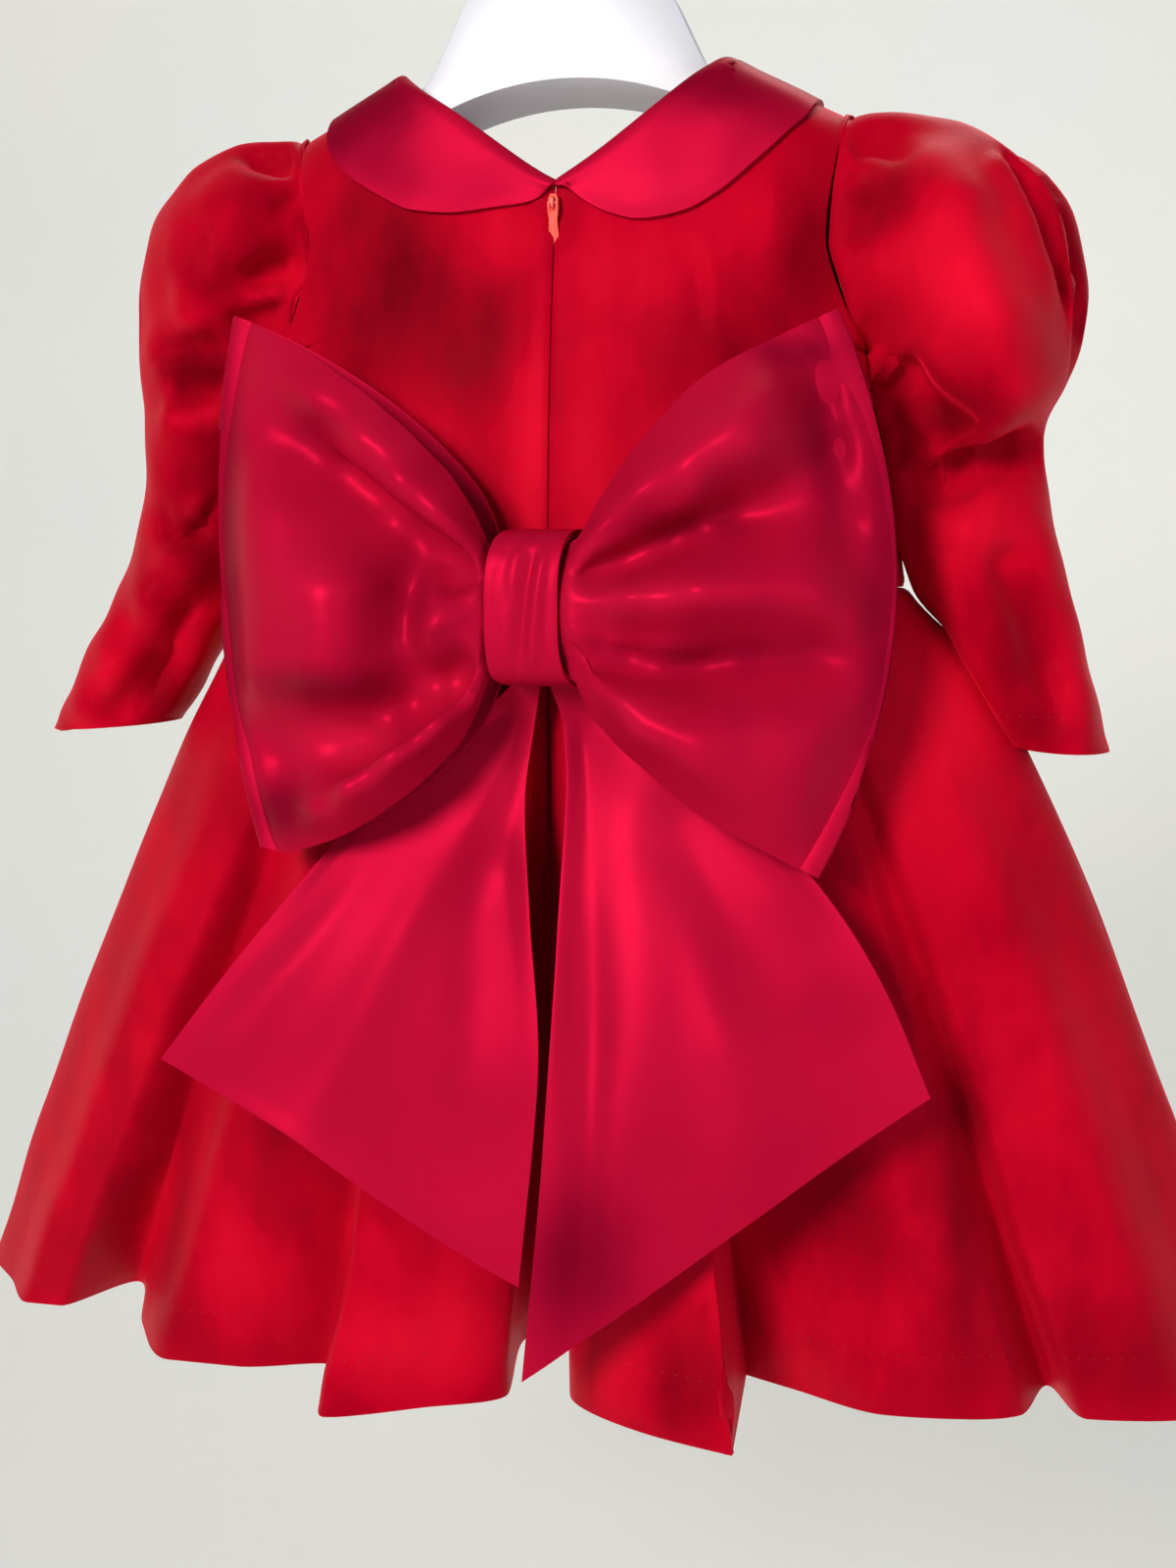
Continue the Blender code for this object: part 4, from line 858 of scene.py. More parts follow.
def nap_and_shade_at(points, node):
    """How dark or bright the cloth is painted at its points, from -1 to 1: partly the lie of its
    pile, partly painted shade and light.
    """
    patches = NAP_AND_SHADE.get(node) or [p for side in ("left", "right") for p in NAP_AND_SHADE.get(
        node.replace("front", "back_" + side), ())]
    x, z = points[..., 0], points[..., 2]
    total = np.zeros(x.shape)
    for patch_x, patch_z, wide, tall, shade in patches:
        off = ((x - patch_x) / wide) ** 2 + ((z - patch_z) / tall) ** 2
        total += shade * np.exp(-off ** 1.3)
    return np.clip(total, -1.0, 1.0)


def link(item):
    bpy.context.scene.collection.objects.link(item)
    return item


def declare(item, node):
    """Say what a finished piece stands for and what it moves with."""
    if node:
        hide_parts(node)
    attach(item, "zip_pull" if node == "zip_pull" else "dress")


def soften(item, width, segments, angle):
    """Round a piece's edges, where its faces meet at more than that angle."""
    rounding = item.modifiers.new("Soft edge", "BEVEL")
    rounding.width = width * MM
    rounding.segments = segments
    rounding.limit_method = "ANGLE"
    rounding.angle_limit = math.radians(angle)


# What a piece is made of: its material, its slot and, for cloth, its thickness.
Stock = namedtuple("Stock", "material slot wall", defaults=(0.0,))


def cloth_mesh(node, points, turned, closed, material):
    """A mesh of a grid of points, with its lengths along the cloth as its UV map, and its painted
    patches of pile, shade and light.
    """
    rows, columns = points.shape[:2]
    round_it = columns if closed else columns - 1
    i = np.arange(rows - 1)[:, None]
    j = np.arange(round_it)[None, :]
    k = (j + 1) % columns
    corners = np.stack([i * columns + j, (i + 1) * columns + j, (i + 1) * columns + k,
                        i * columns + k], axis=-1).reshape(-1, 4)
    along, down = lengths(points, closed)
    last = np.minimum(j + 1, round_it)
    flat = np.stack([
        np.stack([along[i + lower, column], down[i + lower, column % columns]], axis=-1)
        for column, lower in ((j, 0), (j, 1), (last, 1), (last, 0))], axis=2).reshape(-1, 4, 2)
    if turned:
        corners, flat = corners[:, ::-1], flat[:, ::-1]
    mesh = bpy.data.meshes.new("cloth_" + node)
    mesh.from_pydata((points.reshape(-1, 3) * MM).tolist(), [], corners.tolist())
    mesh.uv_layers.new(name="cloth").data.foreach_set("uv", (flat * MM).ravel())
    mesh.shade_smooth()
    mesh.materials.append(material)
    nap_and_shade = mesh.attributes.new("nap_and_shade", "FLOAT", "POINT")
    nap_and_shade.data.foreach_set("value", nap_and_shade_at(points, node).ravel())
    return mesh


def sew(node, grid, stock, turned=False, closed=False, back=(), front=(), seams=(), hem=0.0,
        seed=1, high=0.5, long=42.0, shift=0.0, seen=FACING):
    """Make one sewn piece from its grid of points, with its creases, seams and turned hem."""
    way = outwards(grid, turned, closed)
    push = pushed_in(grid, way, back, -1, seen) + pushed_in(grid, way, front, 1, seen)
    edges = ("top", "bottom") if closed else ("top", "bottom", "first", "last")
    free = ease(edge_distance(grid, closed, edges) / EDGE_FREE)
    push = push * free + rumple(grid, seed, long, high) * free
    dip = np.clip(1.0 - edge_distance(grid, closed, seams) / SEAM_REACH, 0.0, 1.0)
    push = push + SEAM_DIP * dip ** 2 + shift
    points = grid - way * push[..., None]
    mesh = cloth_mesh(node, points, turned, closed, stock.material)
    item = link(bpy.data.objects.new("cloth_" + node, mesh))

    thicken = item.modifiers.new("Cloth wall", "SOLIDIFY")
    thicken.thickness = stock.wall * (2.0 if hem else 1.0) * MM
    thicken.offset = -1.0
    if hem:
        low = edge_distance(points, closed, ("bottom",))
        layers = 1.0 + ease((hem - low) / TURN_UP + 0.5)
        group = item.vertex_groups.new(name="hem")
        for index, value in enumerate((layers / 2.0).ravel().tolist()):
            group.add([index], value, "REPLACE")
        thicken.vertex_group = "hem"
        thicken.thickness_vertex_group = 0.0
    soften(item, EDGE_ROUND * stock.wall, 2, 60.0)
    declare(item, node)
    return item, points, way


# ---------------------------------------------------------------- bodice
FLAP_WIDE = 9.5         # the band of cloth that covers the zip
FLAP_RISE = 0.8
NECK_STAND = 5.0        # the neck stands this much higher at centre back
NECK_STAND_WIDE = 13.0
BODICE_CELL = 2.3
BODICE_RUMPLE = 0.35
SHOULDER_DOWN = 0.10    # share of the way down where the rows lie closest
UNDERARM_DOWN = (SHOULDER_Z - UNDERARM_Z) / (SHOULDER_Z - WAIST_Z)
SIDE_SMOOTH = (-236.0, -306.0)  # heights between which the armhole's depth runs out in the side
ALL_EDGES = ("top", "bottom", "first", "last")


def neckline(x, face):
    """Height of the bodice's top edge at x, along its neckline and shoulder seam. Face is -1 at
    the back and 1 at the front."""
    shoulder = NECK_Z + (SHOULDER_Z - NECK_Z) * (x - NECK_X) / (SHOULDER_X - NECK_X)
    share = np.clip(x / NECK_X, 0.0, 1.0)
    back = BACK_NECK_Z + (NECK_Z - BACK_NECK_Z) * share ** 1.15
    front = FRONT_NECK_Z + (NECK_Z - FRONT_NECK_Z) * share ** 2
    return np.where(x >= NECK_X, shoulder, np.where(np.asarray(face) < 0, back, front))


def armhole_depth(height):
    """Distance of the armhole's edge from the side seam plane."""
    share = np.minimum(1.0, np.abs(height - ARMHOLE_MIDDLE) / ARMHOLE_HALF)
    return ARMHOLE_DEPTH * (1.0 - share ** ARMHOLE_SQUARE) ** (1.0 / ARMHOLE_SQUARE)


def side_depth(height, across):
    """The body's depth at its sides: the armhole's own at its edge, smoother further in."""
    high, low = SIDE_SMOOTH
    smooth = armhole_depth(np.maximum(height, high)) * ease((height - low) / (high - low))
    return smooth + (armhole_depth(height) - smooth) * ease((across - 0.80) / 0.20)


def body_depth(height, face):
    back, front = read(DEPTHS, height)
    return np.where(np.asarray(face) < 0, back, front)


def bodice_point(across, down, side, face):
    """Outer skin of the bodice: across from the centre to the side, down from top to waist."""
    top = neckline(across * SHOULDER_X, face)
    height = top + down * (WAIST_Z - top)
    edge = SHOULDER_Z + down * (WAIST_Z - SHOULDER_Z)
    x = across * read(SIDES, edge)[0]
    round_it = rounded(across, ROUND)
    full = body_depth(height, face) * round_it + side_depth(edge, across) * (1.0 - round_it)
    start = body_depth(top, face) * rounded(across * SHOULDER_X / NECK_X, NECK_SQUARE)
    turn = np.minimum(1.0, (top - height) / SHOULDER_ROLL)
    y = start + (full - start) * (1.0 - (1.0 - turn) ** ROUND) ** (1.0 / ROUND)
    return stack(side * x, face * (y + SEAM / 2), height)


def bodice_place(x, height, face):
    """The place on the bodice, as (across, down), at an x and a height."""
    across = x / SHOULDER_X
    for _ in range(20):
        top = neckline(across * SHOULDER_X, face)
        down = np.maximum(0.0, (top - height) / (top - WAIST_Z))
        across = x / read(SIDES, SHOULDER_Z + down * (WAIST_Z - SHOULDER_Z))[0]
    return across, down


def bodice_grid():
    """Across and down on a bodice panel, closer together at the shoulder and the underarm."""
    across = spread_out(SIDES[0].reach, BODICE_CELL)
    top = SHOULDER_DOWN * np.linspace(0.0, 1.0, 17) ** 2.4
    arm = 1.0 - (1.0 - np.linspace(0.0, 1.0, 34)) ** 1.7
    arm = SHOULDER_DOWN + (UNDERARM_DOWN - SHOULDER_DOWN) * arm
    low = spread_out(UNDERARM_Z - WAIST_Z, BODICE_CELL, start=False)
    low = UNDERARM_DOWN + (1.0 - UNDERARM_DOWN) * low
    return np.meshgrid(across, np.concatenate([top, arm[1:], low[1:]]))


def build_bodice(finish):
    across, down = bodice_grid()
    for side, node, seed in ((-1, "bodice_back_left", 11), (1, "bodice_back_right", 12)):
        grid = bodice_point(across, down, side, -1)
        grid[..., 0] += side * SEAM / 2 * (1.0 - across)
        centre = ease(1.3 - across * SHOULDER_X / NECK_STAND_WIDE)
        grid[..., 2] += NECK_STAND * centre * ease(1.0 - down / 0.06)
        flap = 0.0
        if side < 0:
            off = edge_distance(grid, False, ("first",))
            flap = -FLAP_RISE * ease((FLAP_WIDE - off) / 1.3 + 0.5) * ease((down - 0.02) / 0.02)
        sew(node, grid, finish.velvet, turned=side < 0, back=BODICE_BACK, seams=ALL_EDGES,
            seed=seed, high=BODICE_RUMPLE, shift=flap)
    left = bodice_point(across, down, -1, 1)[:, :0:-1]
    grid = np.concatenate([left, bodice_point(across, down, 1, 1)], axis=1)
    sew("bodice_front", grid, finish.velvet, turned=True, front=BODICE_FRONT, seams=ALL_EDGES,
        seed=13, high=BODICE_RUMPLE)


# ---------------------------------------------------------------- skirt
SKIRT_LONG = 325.0
SKIRT_SWING = 7.0       # how far the skirt swings out at its sides, halfway down
HIP_LEFT = 2.5          # how much fuller it starts at its sides, under the sleeves
HIP_RIGHT = 13.5
HEM_REACH = FRONT_PLEATS[0].hem_x
PLEAT_CELLS = 13        # cells of the grid from one row of a table of pleats to the next


def skirt_point(pleats, face, across, down):
    """Outer skin of the skirt: the pleats open from the flat waist to the hem."""
    numbered = [(i, *row) for i, row in enumerate(pleats)]
    waist_x, hem_x, hem_y = read(numbered, across * (len(pleats) - 1))
    reach = read(SIDES, WAIST_Z)[0]
    share = np.minimum(np.abs(waist_x) / reach, 1.0)
    waist_y = face * (body_depth(WAIST_Z, face) * rounded(share, ROUND) + SEAM / 2)
    swing = SKIRT_SWING * np.sin(np.pi * down) * hem_x / HEM_REACH
    hip = np.where(waist_x > 0.0, HIP_RIGHT, HIP_LEFT) * power(waist_x / reach, 5.0)
    x = waist_x + (hem_x - waist_x) * down + swing + hip * between(down, 0.0, 0.11, 0.75, 0.6)
    y = waist_y + (hem_y - waist_y) * down ** PLEAT_OPENING
    return stack(x, y, WAIST_Z - 2 * SEAM + (HEM_Z - WAIST_Z) * down)


def skirt_grid(pleats):
    wide = sum(math.dist(a[1:], b[1:]) for a, b in zip(pleats, pleats[1:]))
    across = spread_out(wide, wide / ((len(pleats) - 1) * PLEAT_CELLS))
    return np.meshgrid(across, spread_out(SKIRT_LONG, 3.2))


def build_skirt(finish):
    """Build the skirt's panels; returns them for their hem stitches."""
    shared = {"seams": ("top", "first", "last"), "hem": HEM_DEPTH, "high": 0.7, "long": 60.0}
    pieces = []
    for side, pleats, node, seed in ((-1, BACK_LEFT_PLEATS, "skirt_back_left", 21),
                                     (1, BACK_RIGHT_PLEATS, "skirt_back_right", 22)):
        across, down = skirt_grid(pleats)
        grid = skirt_point(pleats, -1, across, down)
        grid[..., 0] += side * SEAM / 2 * (1.0 - ease(across * 12))
        grid[..., 1] -= SEAM / 2 * ease((across - 0.9) * 10)
        pieces.append(sew(node, grid, finish.velvet, turned=side < 0, back=SKIRT_BACK, seed=seed,
                          **shared))
    across, down = skirt_grid(FRONT_PLEATS)
    grid = skirt_point(FRONT_PLEATS, 1, across, down)
    grid[..., 1] += SEAM / 2 * (1.0 - ease(np.minimum(across, 1.0 - across) * 12))
    pieces.append(sew("skirt_front", grid, finish.velvet, front=SKIRT_FRONT, seed=23, **shared))
    return pieces


# ---------------------------------------------------------------- sleeves
SLEEVE_LONG = 270.0
SLEEVE_COLUMNS = 110
SLEEVE_START = 0.15     # the sleeve's seam edge stands this far outside the armhole's
SLEEVE_ROOT = 0.16      # share of its length over which it leaves the armhole
SLEEVE_FACING = (0.05, 0.5)
VALLEY_WIDE = 0.30      # the valley along a sleeve's top, and the lobes beside it, in radians
LOBE_TURN = 0.75
LOBE_WIDE = 0.45
HIDDEN_SHARE = 0.7      # how much of its forms a sleeve shows on its hidden side
BODY_GAP = 0.4          # the sleeve's inner wall stays this far off the body
BODY_NEAR = 9.0         # and is drawn to it from about this near


def armhole_edge(angle):
    """The armhole's edge, from its top by the back (0.25) and the underarm to the front (0.75)."""
    height = ARMHOLE_MIDDLE + ARMHOLE_HALF * power(np.cos(angle), 2.0 / ARMHOLE_SQUARE)
    y = -ARMHOLE_DEPTH * power(np.sin(angle), 2.0 / ARMHOLE_SQUARE)
    return stack(read(SIDES, height)[0] + SLEEVE_START, y, height)


def sleeve_point(rings, side, across, down):
    """Outer skin of a sleeve: across goes round it, down from the armhole to the hem."""
    angle = 2 * np.pi * across
    x, z, tilt, half_width, half_depth, valley, back_lobe, front_lobe = read(rings, down)
    tilt = np.radians(tilt)
    turn = np.where(angle <= np.pi, angle, angle - 2 * np.pi)
    reach = half_width * np.cos(angle) - valley * hump(turn, VALLEY_WIDE)
    reach = reach + back_lobe * hump(turn - LOBE_TURN, LOBE_WIDE)
    reach = reach + front_lobe * hump(turn + LOBE_TURN, LOBE_WIDE)
    spread = stack(np.sin(tilt) * reach, -half_depth * np.sin(angle), np.cos(tilt) * reach)
    puckers = GATHER_RISE * np.sin(GATHERS * angle) * between(down, 0.0, 0.05, 0.30, 0.25)
    puckers = puckers * ease((1.25 + np.cos(angle)) / 1.5)
    spread *= (1.0 + puckers / np.linalg.norm(spread, axis=-1))[..., None]
    free = stack(x, 0.0, z) + spread
    share = ease(down / SLEEVE_ROOT)[..., None]
    place = armhole_edge(angle) * (1.0 - share) + free * share
    place[..., 0] *= side
    return place


def beside_body(points, side):
    """Lay the inner wall of a sleeve against the body where it comes near, below the underarm."""
    x, y, z = side * points[..., 0], points[..., 1], points[..., 2]
    flat = side_depth(z, 1.0)
    share = np.clip((np.abs(y) - flat) / (body_depth(z, y) - flat), 0.0, 0.98)
    reach = read(SIDES, z)[0] * (1.0 - share ** 2) ** (1.0 / ROUND)
    room = np.maximum(x - reach - BODY_GAP, 0.0)
    below = between(z, WAIST_Z - 26.0, 16.0, UNDERARM_Z + 0.5, 3.0)
    moved = points.copy()
    moved[..., 0] -= side * room * hump(room, BODY_NEAR) * below
    return moved


def build_sleeves(finish):
    """Build the sleeves; returns them for their cuff stitches."""
    round_it = np.linspace(0.0, 1.0, SLEEVE_COLUMNS + 1)[:-1]
    across, down = np.meshgrid(round_it, spread_out(SLEEVE_LONG, 2.1))
    tables = (
        ("sleeve_left", SLEEVE_LEFT, SLEEVE_LEFT_FORMS, -1, SLEEVE_LEFT_BACK, SLEEVE_LEFT_FRONT),
        ("sleeve_right", SLEEVE_RIGHT, SLEEVE_RIGHT_FORMS, 1, SLEEVE_RIGHT_BACK,
         SLEEVE_RIGHT_FRONT),
    )
    pieces = []
    for seed, (node, rings, forms, side, back, front) in enumerate(tables, 31):
        grid = sleeve_point(rings, side, across, down)
        seen = -outwards(grid, side > 0, True)[..., 1]
        lift = lifted(grid, forms) * ease(down / 0.05)
        start, fade = SLEEVE_FACING
        shown = ease((seen - start) / fade) - HIDDEN_SHARE * ease((-seen - start) / fade)
        grid[..., 1] -= lift * shown
        grid = beside_body(grid, side)
        pieces.append(sew(node, grid, finish.velvet, turned=side > 0, closed=True, back=back,
                          front=front, seams=("top",), hem=CUFF_DEPTH, seed=seed, high=0.6,
                          long=30.0, seen=SLEEVE_FACING))
    return pieces


# ---------------------------------------------------------------- collar
COLLAR_WIDE = 44.0
COLLAR_LONG = 120.0
SHOULDER_ALONG = 0.40   # share of the way along where the columns begin to lie closer


def collar_ground(rows, along, share):
    """Where the collar lies on the bodice, as (across, down, face)."""
    neck_x, edge_x, edge_z = read(rows, along)
    face = np.where(along <= 0.5, -1.0, 1.0)
    top = neckline(neck_x, face)
    x = neck_x + (edge_x - neck_x) * share
    across, down = bodice_place(x, top + (edge_z - top) * share, face)
    return across, down, face


def bodice_normal(across, down, face):
    """The way out of the bodice's outer skin, on its right half."""
    step = 0.002
    across = np.clip(across, step, 1.0 - 2 * step)
    down = np.maximum(down, 2 * step)
    wide = bodice_point(across + step, down, 1, face) - bodice_point(across - step, down, 1, face)
    long = bodice_point(across, down + step, 1, face) - bodice_point(across, down - step, 1, face)
    normal = np.cross(wide, long)
    normal /= np.linalg.norm(normal, axis=-1, keepdims=True)
    return normal * np.where(normal[..., 1] * face > 0.0, 1.0, -1.0)[..., None]


def collar_point(rows, side, along, across):
    """The collar's upper skin: along from centre back to centre front, across from the neck."""
    share, lift, rise = read(COLLAR_ROLL, across)
    shoulder = along - 0.5
    rise = rise * (1.0 - (0.8 if side < 0 else 0.2) * hump(shoulder, 0.12))
    ground_across, ground_down, face = collar_ground(rows, along, share)
    way = bodice_normal(ground_across, ground_down, face)
    ground = bodice_point(ground_across, ground_down, 1, face)
    low = np.maximum(0.0, share - 0.03)
    near, far = [collar_ground(rows, along, s) for s in (low, low + 0.06)]
    up = bodice_point(near[0], near[1], 1, near[2]) - bodice_point(far[0], far[1], 1, far[2])
    up -= way * np.sum(up * way, axis=-1, keepdims=True)
    up /= np.linalg.norm(up, axis=-1, keepdims=True)
    over_seam = 0.4 * hump(shoulder, 0.05)
    point = ground + way * (lift + over_seam)[..., None] + up * rise[..., None]
    bent = 0.5 * hump(shoulder[:, 1:-1], 0.012)[..., None]
    for _ in range(30):
        point[:, 1:-1] += bent * ((point[:, 2:] + point[:, :-2]) / 2 - point[:, 1:-1])
    point[..., 0] *= side
    return point


def build_collar(finish):
    flat = spread_out(COLLAR_LONG, 2.4, end=False)[:-1] * SHOULDER_ALONG
    over = SHOULDER_ALONG + 0.0996 * np.sqrt(np.linspace(0.0, 1.0, 26))
    half = np.concatenate([flat, over])
    along = np.concatenate([half, [0.5], 1.0 - half[::-1]])
    along, across = np.meshgrid(along, spread_out(COLLAR_WIDE, 1.8))
    for rows, side, node, seed in ((COLLAR_LEFT, -1, "collar_left", 41),
                                   (COLLAR_RIGHT, 1, "collar_right", 42)):
        sew(node, collar_point(rows, side, along, across), finish.satin._replace(wall=COLLAR_WALL),
            turned=side < 0, seed=seed, high=0.25, long=34.0)


# ---------------------------------------------------------------- bow
LOOP_TALL = 200.0
LOOP_STEPS = 74         # columns of each of a loop's two layers
LOOP_NEAR_LIFT = 9.0    # how much flatter the layers are at a loop's upper and lower edges
LOOP_FAR_LIFT = 3.0
TAIL_WIDE = 150.0
TAIL_LONG = 230.0
KNOT_WIDE = 28.0
KNOT_SWELL = 0.04


def loop_out(round_it):
    """How far out a place on a loop is, from 0 at the knot to 1 at its outer edge."""
    return np.sin(np.pi * round_it) ** 0.85


def loop_point(rows, bulge, round_it, down):
    """A bow loop: round_it goes out from the knot on the near layer, and back on the far one."""
    out = loop_out(round_it)
    top_x, top_z, low_x, low_z, back_y, front_y = read(rows, out)
    side = -1.0 if rows[-1].top_x < 0.0 else 1.0
    x = top_x + (low_x - top_x) * down + side * bulge * out ** 3 * 4.0 * down * (1.0 - down)
    z = top_z + (low_z - top_z) * down
    middle = (back_y + front_y) / 2
    half = (front_y - back_y) / 2
    edge = (2.0 * down - 1.0) ** 2
    near = LOOP_NEAR_LIFT * edge - half
    far = half - LOOP_FAR_LIFT * edge
    y = middle + np.where(round_it <= 0.5, near, far) * rounded(out, 5)
    y = y - LOOP_LEAN * np.maximum(0.0, KNOT_Z - z) * ease(out * 3)
    return stack(x, y, z)


def tail_point(rows, folds, across, down):
    """A bow tail: across from its inner to its outer edge, down from the knot to its tip."""
    inner_x, inner_z, outer_x, outer_z, inner_y, outer_y = read(rows, down)
    x = inner_x + (outer_x - inner_x) * across
    z = inner_z + (outer_z - inner_z) * across
    y = inner_y + (outer_y - inner_y) * ease(across)
    y = y + fold_depth(folds, across, down, TAIL_WIDE, TAIL_LONG) * ease((down - 0.35) * 2.5)
    return stack(x, y, z)


def knot_point(across, turn):
    """The knot is a band round the middle of the bow, from edge to edge."""
    angle = 2 * np.pi * turn
    left, right = read(KNOT_EDGES, turn)
    half_depth = (KNOT_BACK_Y - KNOT_FRONT_Y) / 2
    middle_y = (KNOT_BACK_Y + KNOT_FRONT_Y) / 2
    rise = power(np.cos(angle), 2.0 / KNOT_SQUARE)
    out = power(np.sin(angle), 2.0 / KNOT_SQUARE)
    swell = np.where(out > 0.0, 1.0 - KNOT_SWELL * (2.0 * across - 1.0) ** 2, 1.0)
    return stack(left + (right - left) * across, middle_y - half_depth * out * swell,
                 KNOT_Z + KNOT_HALF_HEIGHT * rise)


def build_bow(finish):
    even = np.linspace(0.0, 1.0, LOOP_STEPS)
    half = 0.5 * (0.55 * even + 0.45 * (0.5 - 0.5 * np.cos(np.pi * even)))
    round_it = np.concatenate([half, 1.0 - half[-2::-1]])
    round_it, down = np.meshgrid(round_it, spread_out(LOOP_TALL, 2.4))
    loops = (
        ("bow_loop_left", LOOP_LEFT, LOOP_LEFT_FORMS, LOOP_LEFT_BULGE, LOOP_LEFT_BACK,
         LOOP_LEFT_FRONT),
        ("bow_loop_right", LOOP_RIGHT, LOOP_RIGHT_FORMS, LOOP_RIGHT_BULGE, LOOP_RIGHT_BACK,
         LOOP_RIGHT_FRONT),
    )
    near = (round_it <= 0.5) * between(loop_out(round_it), 0.13, 0.08, 1.0, 0.17)
    for seed, (node, rows, forms, bulge, back, front) in enumerate(loops, 51):
        grid = loop_point(rows, bulge, round_it, down)
        grid[..., 1] -= lifted(grid, forms) * near
        sew(node, grid, finish.satin, turned=node == "bow_loop_left", back=back, front=front,
            seed=seed, high=0.15, long=60.0)
    tails = (
        ("bow_tail_left", TAIL_LEFT, TAIL_LEFT_FOLDS, TAIL_LEFT_BACK),
        ("bow_tail_right", TAIL_RIGHT, TAIL_RIGHT_FOLDS, TAIL_RIGHT_BACK),
    )
    across, down = np.meshgrid(spread_out(TAIL_WIDE, 2.4), spread_out(TAIL_LONG, 2.4))
    for seed, (node, rows, folds, back) in enumerate(tails, 53):
        sew(node, tail_point(rows, folds, across, down), finish.satin,
            turned=node == "bow_tail_left", back=back, seed=seed, high=0.3, long=80.0)
    turn, across = np.meshgrid(np.linspace(0.0, 1.0, 181)[:-1], spread_out(KNOT_WIDE, 1.0))
    sew("bow_knot", knot_point(across, turn), finish.satin._replace(wall=KNOT_WALL), turned=True,
        closed=True, back=KNOT_BACK, seed=55, high=0.2, long=20.0)


# ---------------------------------------------------------------- zip
def finished(shape, name, stock, node, bevel, segments=2, angle=35.0):
    """Make a hard piece from its bmesh, in metres, with softened edges."""
    mesh = bpy.data.meshes.new(name)
    bmesh.ops.recalc_face_normals(shape, faces=shape.faces)
    shape.to_mesh(mesh)
    shape.free()
    mesh.materials.append(stock.material)
    mesh.shade_smooth()
    item = link(bpy.data.objects.new(name, mesh))
    soften(item, bevel, segments, angle)
    declare(item, node)


def extrude(shape, faces, way):
    """Draw faces out by a vector."""
    moved = bmesh.ops.extrude_face_region(shape, geom=faces)["geom"]
    for item in moved:
        if isinstance(item, bmesh.types.BMVert):
            item.co += Vector(way)


def plate(shape, rings, low, high, place):
    """A plate with holes between two depths: the first ring is its outline, the rest its holes."""
    edges = []
    for ring in rings:
        corners = [shape.verts.new((x, low, z)) for x, z in ring]
        edges += [shape.edges.new((a, b)) for a, b in zip(corners, corners[1:] + corners[:1])]
    bmesh.ops.triangle_fill(shape, edges=edges, use_beauty=True)
    bmesh.ops.dissolve_limit(shape, angle_limit=0.01, verts=shape.verts[:], edges=[])
    extrude(shape, shape.faces[:], (0.0, high - low, 0.0))
    for vertex in shape.verts:
        vertex.co = place(vertex.co)


def arc(centre, radius, start, end, count):
    """Points on an arc, from one angle to another."""
    angles = [start + (end - start) * i / count for i in range(count + 1)]
    return [(centre[0] + radius * math.cos(a), centre[1] + radius * math.sin(a)) for a in angles]


def build_zip(finish):
    half_wide, deep, half_long = SLIDER_SIZE[0] / 2, SLIDER_SIZE[1], SLIDER_SIZE[2] / 2
    cloth_y = float(bodice_point(np.array(0.0), np.array(SLIDER_DOWN), 1, -1)[1])
    front = cloth_y - SLIDER_LIFT - deep
    shape = bmesh.new()
    right = [(half_wide * 0.72, -half_long), (half_wide, -half_long + 1.6),
             (half_wide, half_long - 1.8), (half_wide * 0.62, half_long)]
    left = [(-x, z) for x, z in right]
    outline = left[:1] + right + left[:0:-1]
    plate(shape, [outline], front, front + deep,
          lambda p: Vector((p.x, p.y, p.z + SLIDER_Z)) * MM)
    finished(shape, "zip_slider_body", finish.lacquer, "zip_slider", 0.4)

    rise, gap = BRIDGE_SIZE[1], BRIDGE_HOLE[0]
    tall, open_tall = BRIDGE_SIZE[2] / 2, BRIDGE_HOLE[1] / 2
    upper = [(tall - 0.7, -rise), (tall, -rise * 0.55), (tall, 0.1), (open_tall, 0.1),
             (open_tall, -gap)]
    bridge = [(-z, y) for z, y in reversed(upper)] + upper
    shape = bmesh.new()
    corners = [shape.verts.new((-BRIDGE_SIZE[0] / 2, front + y, SLIDER_Z + z)) for z, y in bridge]
    extrude(shape, [shape.faces.new(corners)], (BRIDGE_SIZE[0], 0.0, 0.0))
    for vertex in shape.verts:
        vertex.co = vertex.co * MM
    finished(shape, "zip_slider_bridge", finish.lacquer, None, 0.2)

    half = PULL_WIDE / 2
    bar, eye, eye_half = PULL_EYE
    outline = [(-half + 0.1, bar), (half - 0.1, bar), (half - 0.1, -eye), (half - 0.5, -eye - 2.5)]
    outline += arc((0.0, -PULL_LONG + half), half, 0.0, -math.pi, 16)
    outline += [(-half + 0.5, -eye - 2.5), (-half + 0.1, -eye)]
    hole = [(-eye_half, -bar), (-eye_half, -eye), (eye_half, -eye), (eye_half, -bar)]
    axis = Vector((0.0, front - gap / 2, SLIDER_Z))
    lean = Matrix.Rotation(PULL_TILT, 3, "X")
    shape = bmesh.new()
    plate(shape, [outline, hole], -PULL_THICK / 2, PULL_THICK / 2,
          lambda p: (axis + lean @ p) * MM)
    finished(shape, "zip_pull_tab", finish.lacquer, "zip_pull", 0.25)


# ---------------------------------------------------------------- hanger
def smooth_line(points, count):
    """A finer line through points, rounded where they turn."""
    points = np.array(points, float)
    ends = np.vstack([2 * points[0] - points[1], points, 2 * points[-1] - points[-2]])
    fine = []
    for a, b, c, d in zip(ends, ends[1:], ends[2:], ends[3:]):
        for t in np.linspace(0.0, 1.0, count, endpoint=False):
            fine.append(0.5 * (2 * b + (c - a) * t + (2 * a - 5 * b + 4 * c - d) * t * t
                               + (3 * b - a - 3 * c + d) * t ** 3))
    return [tuple(p) for p in fine] + [tuple(points[-1])]


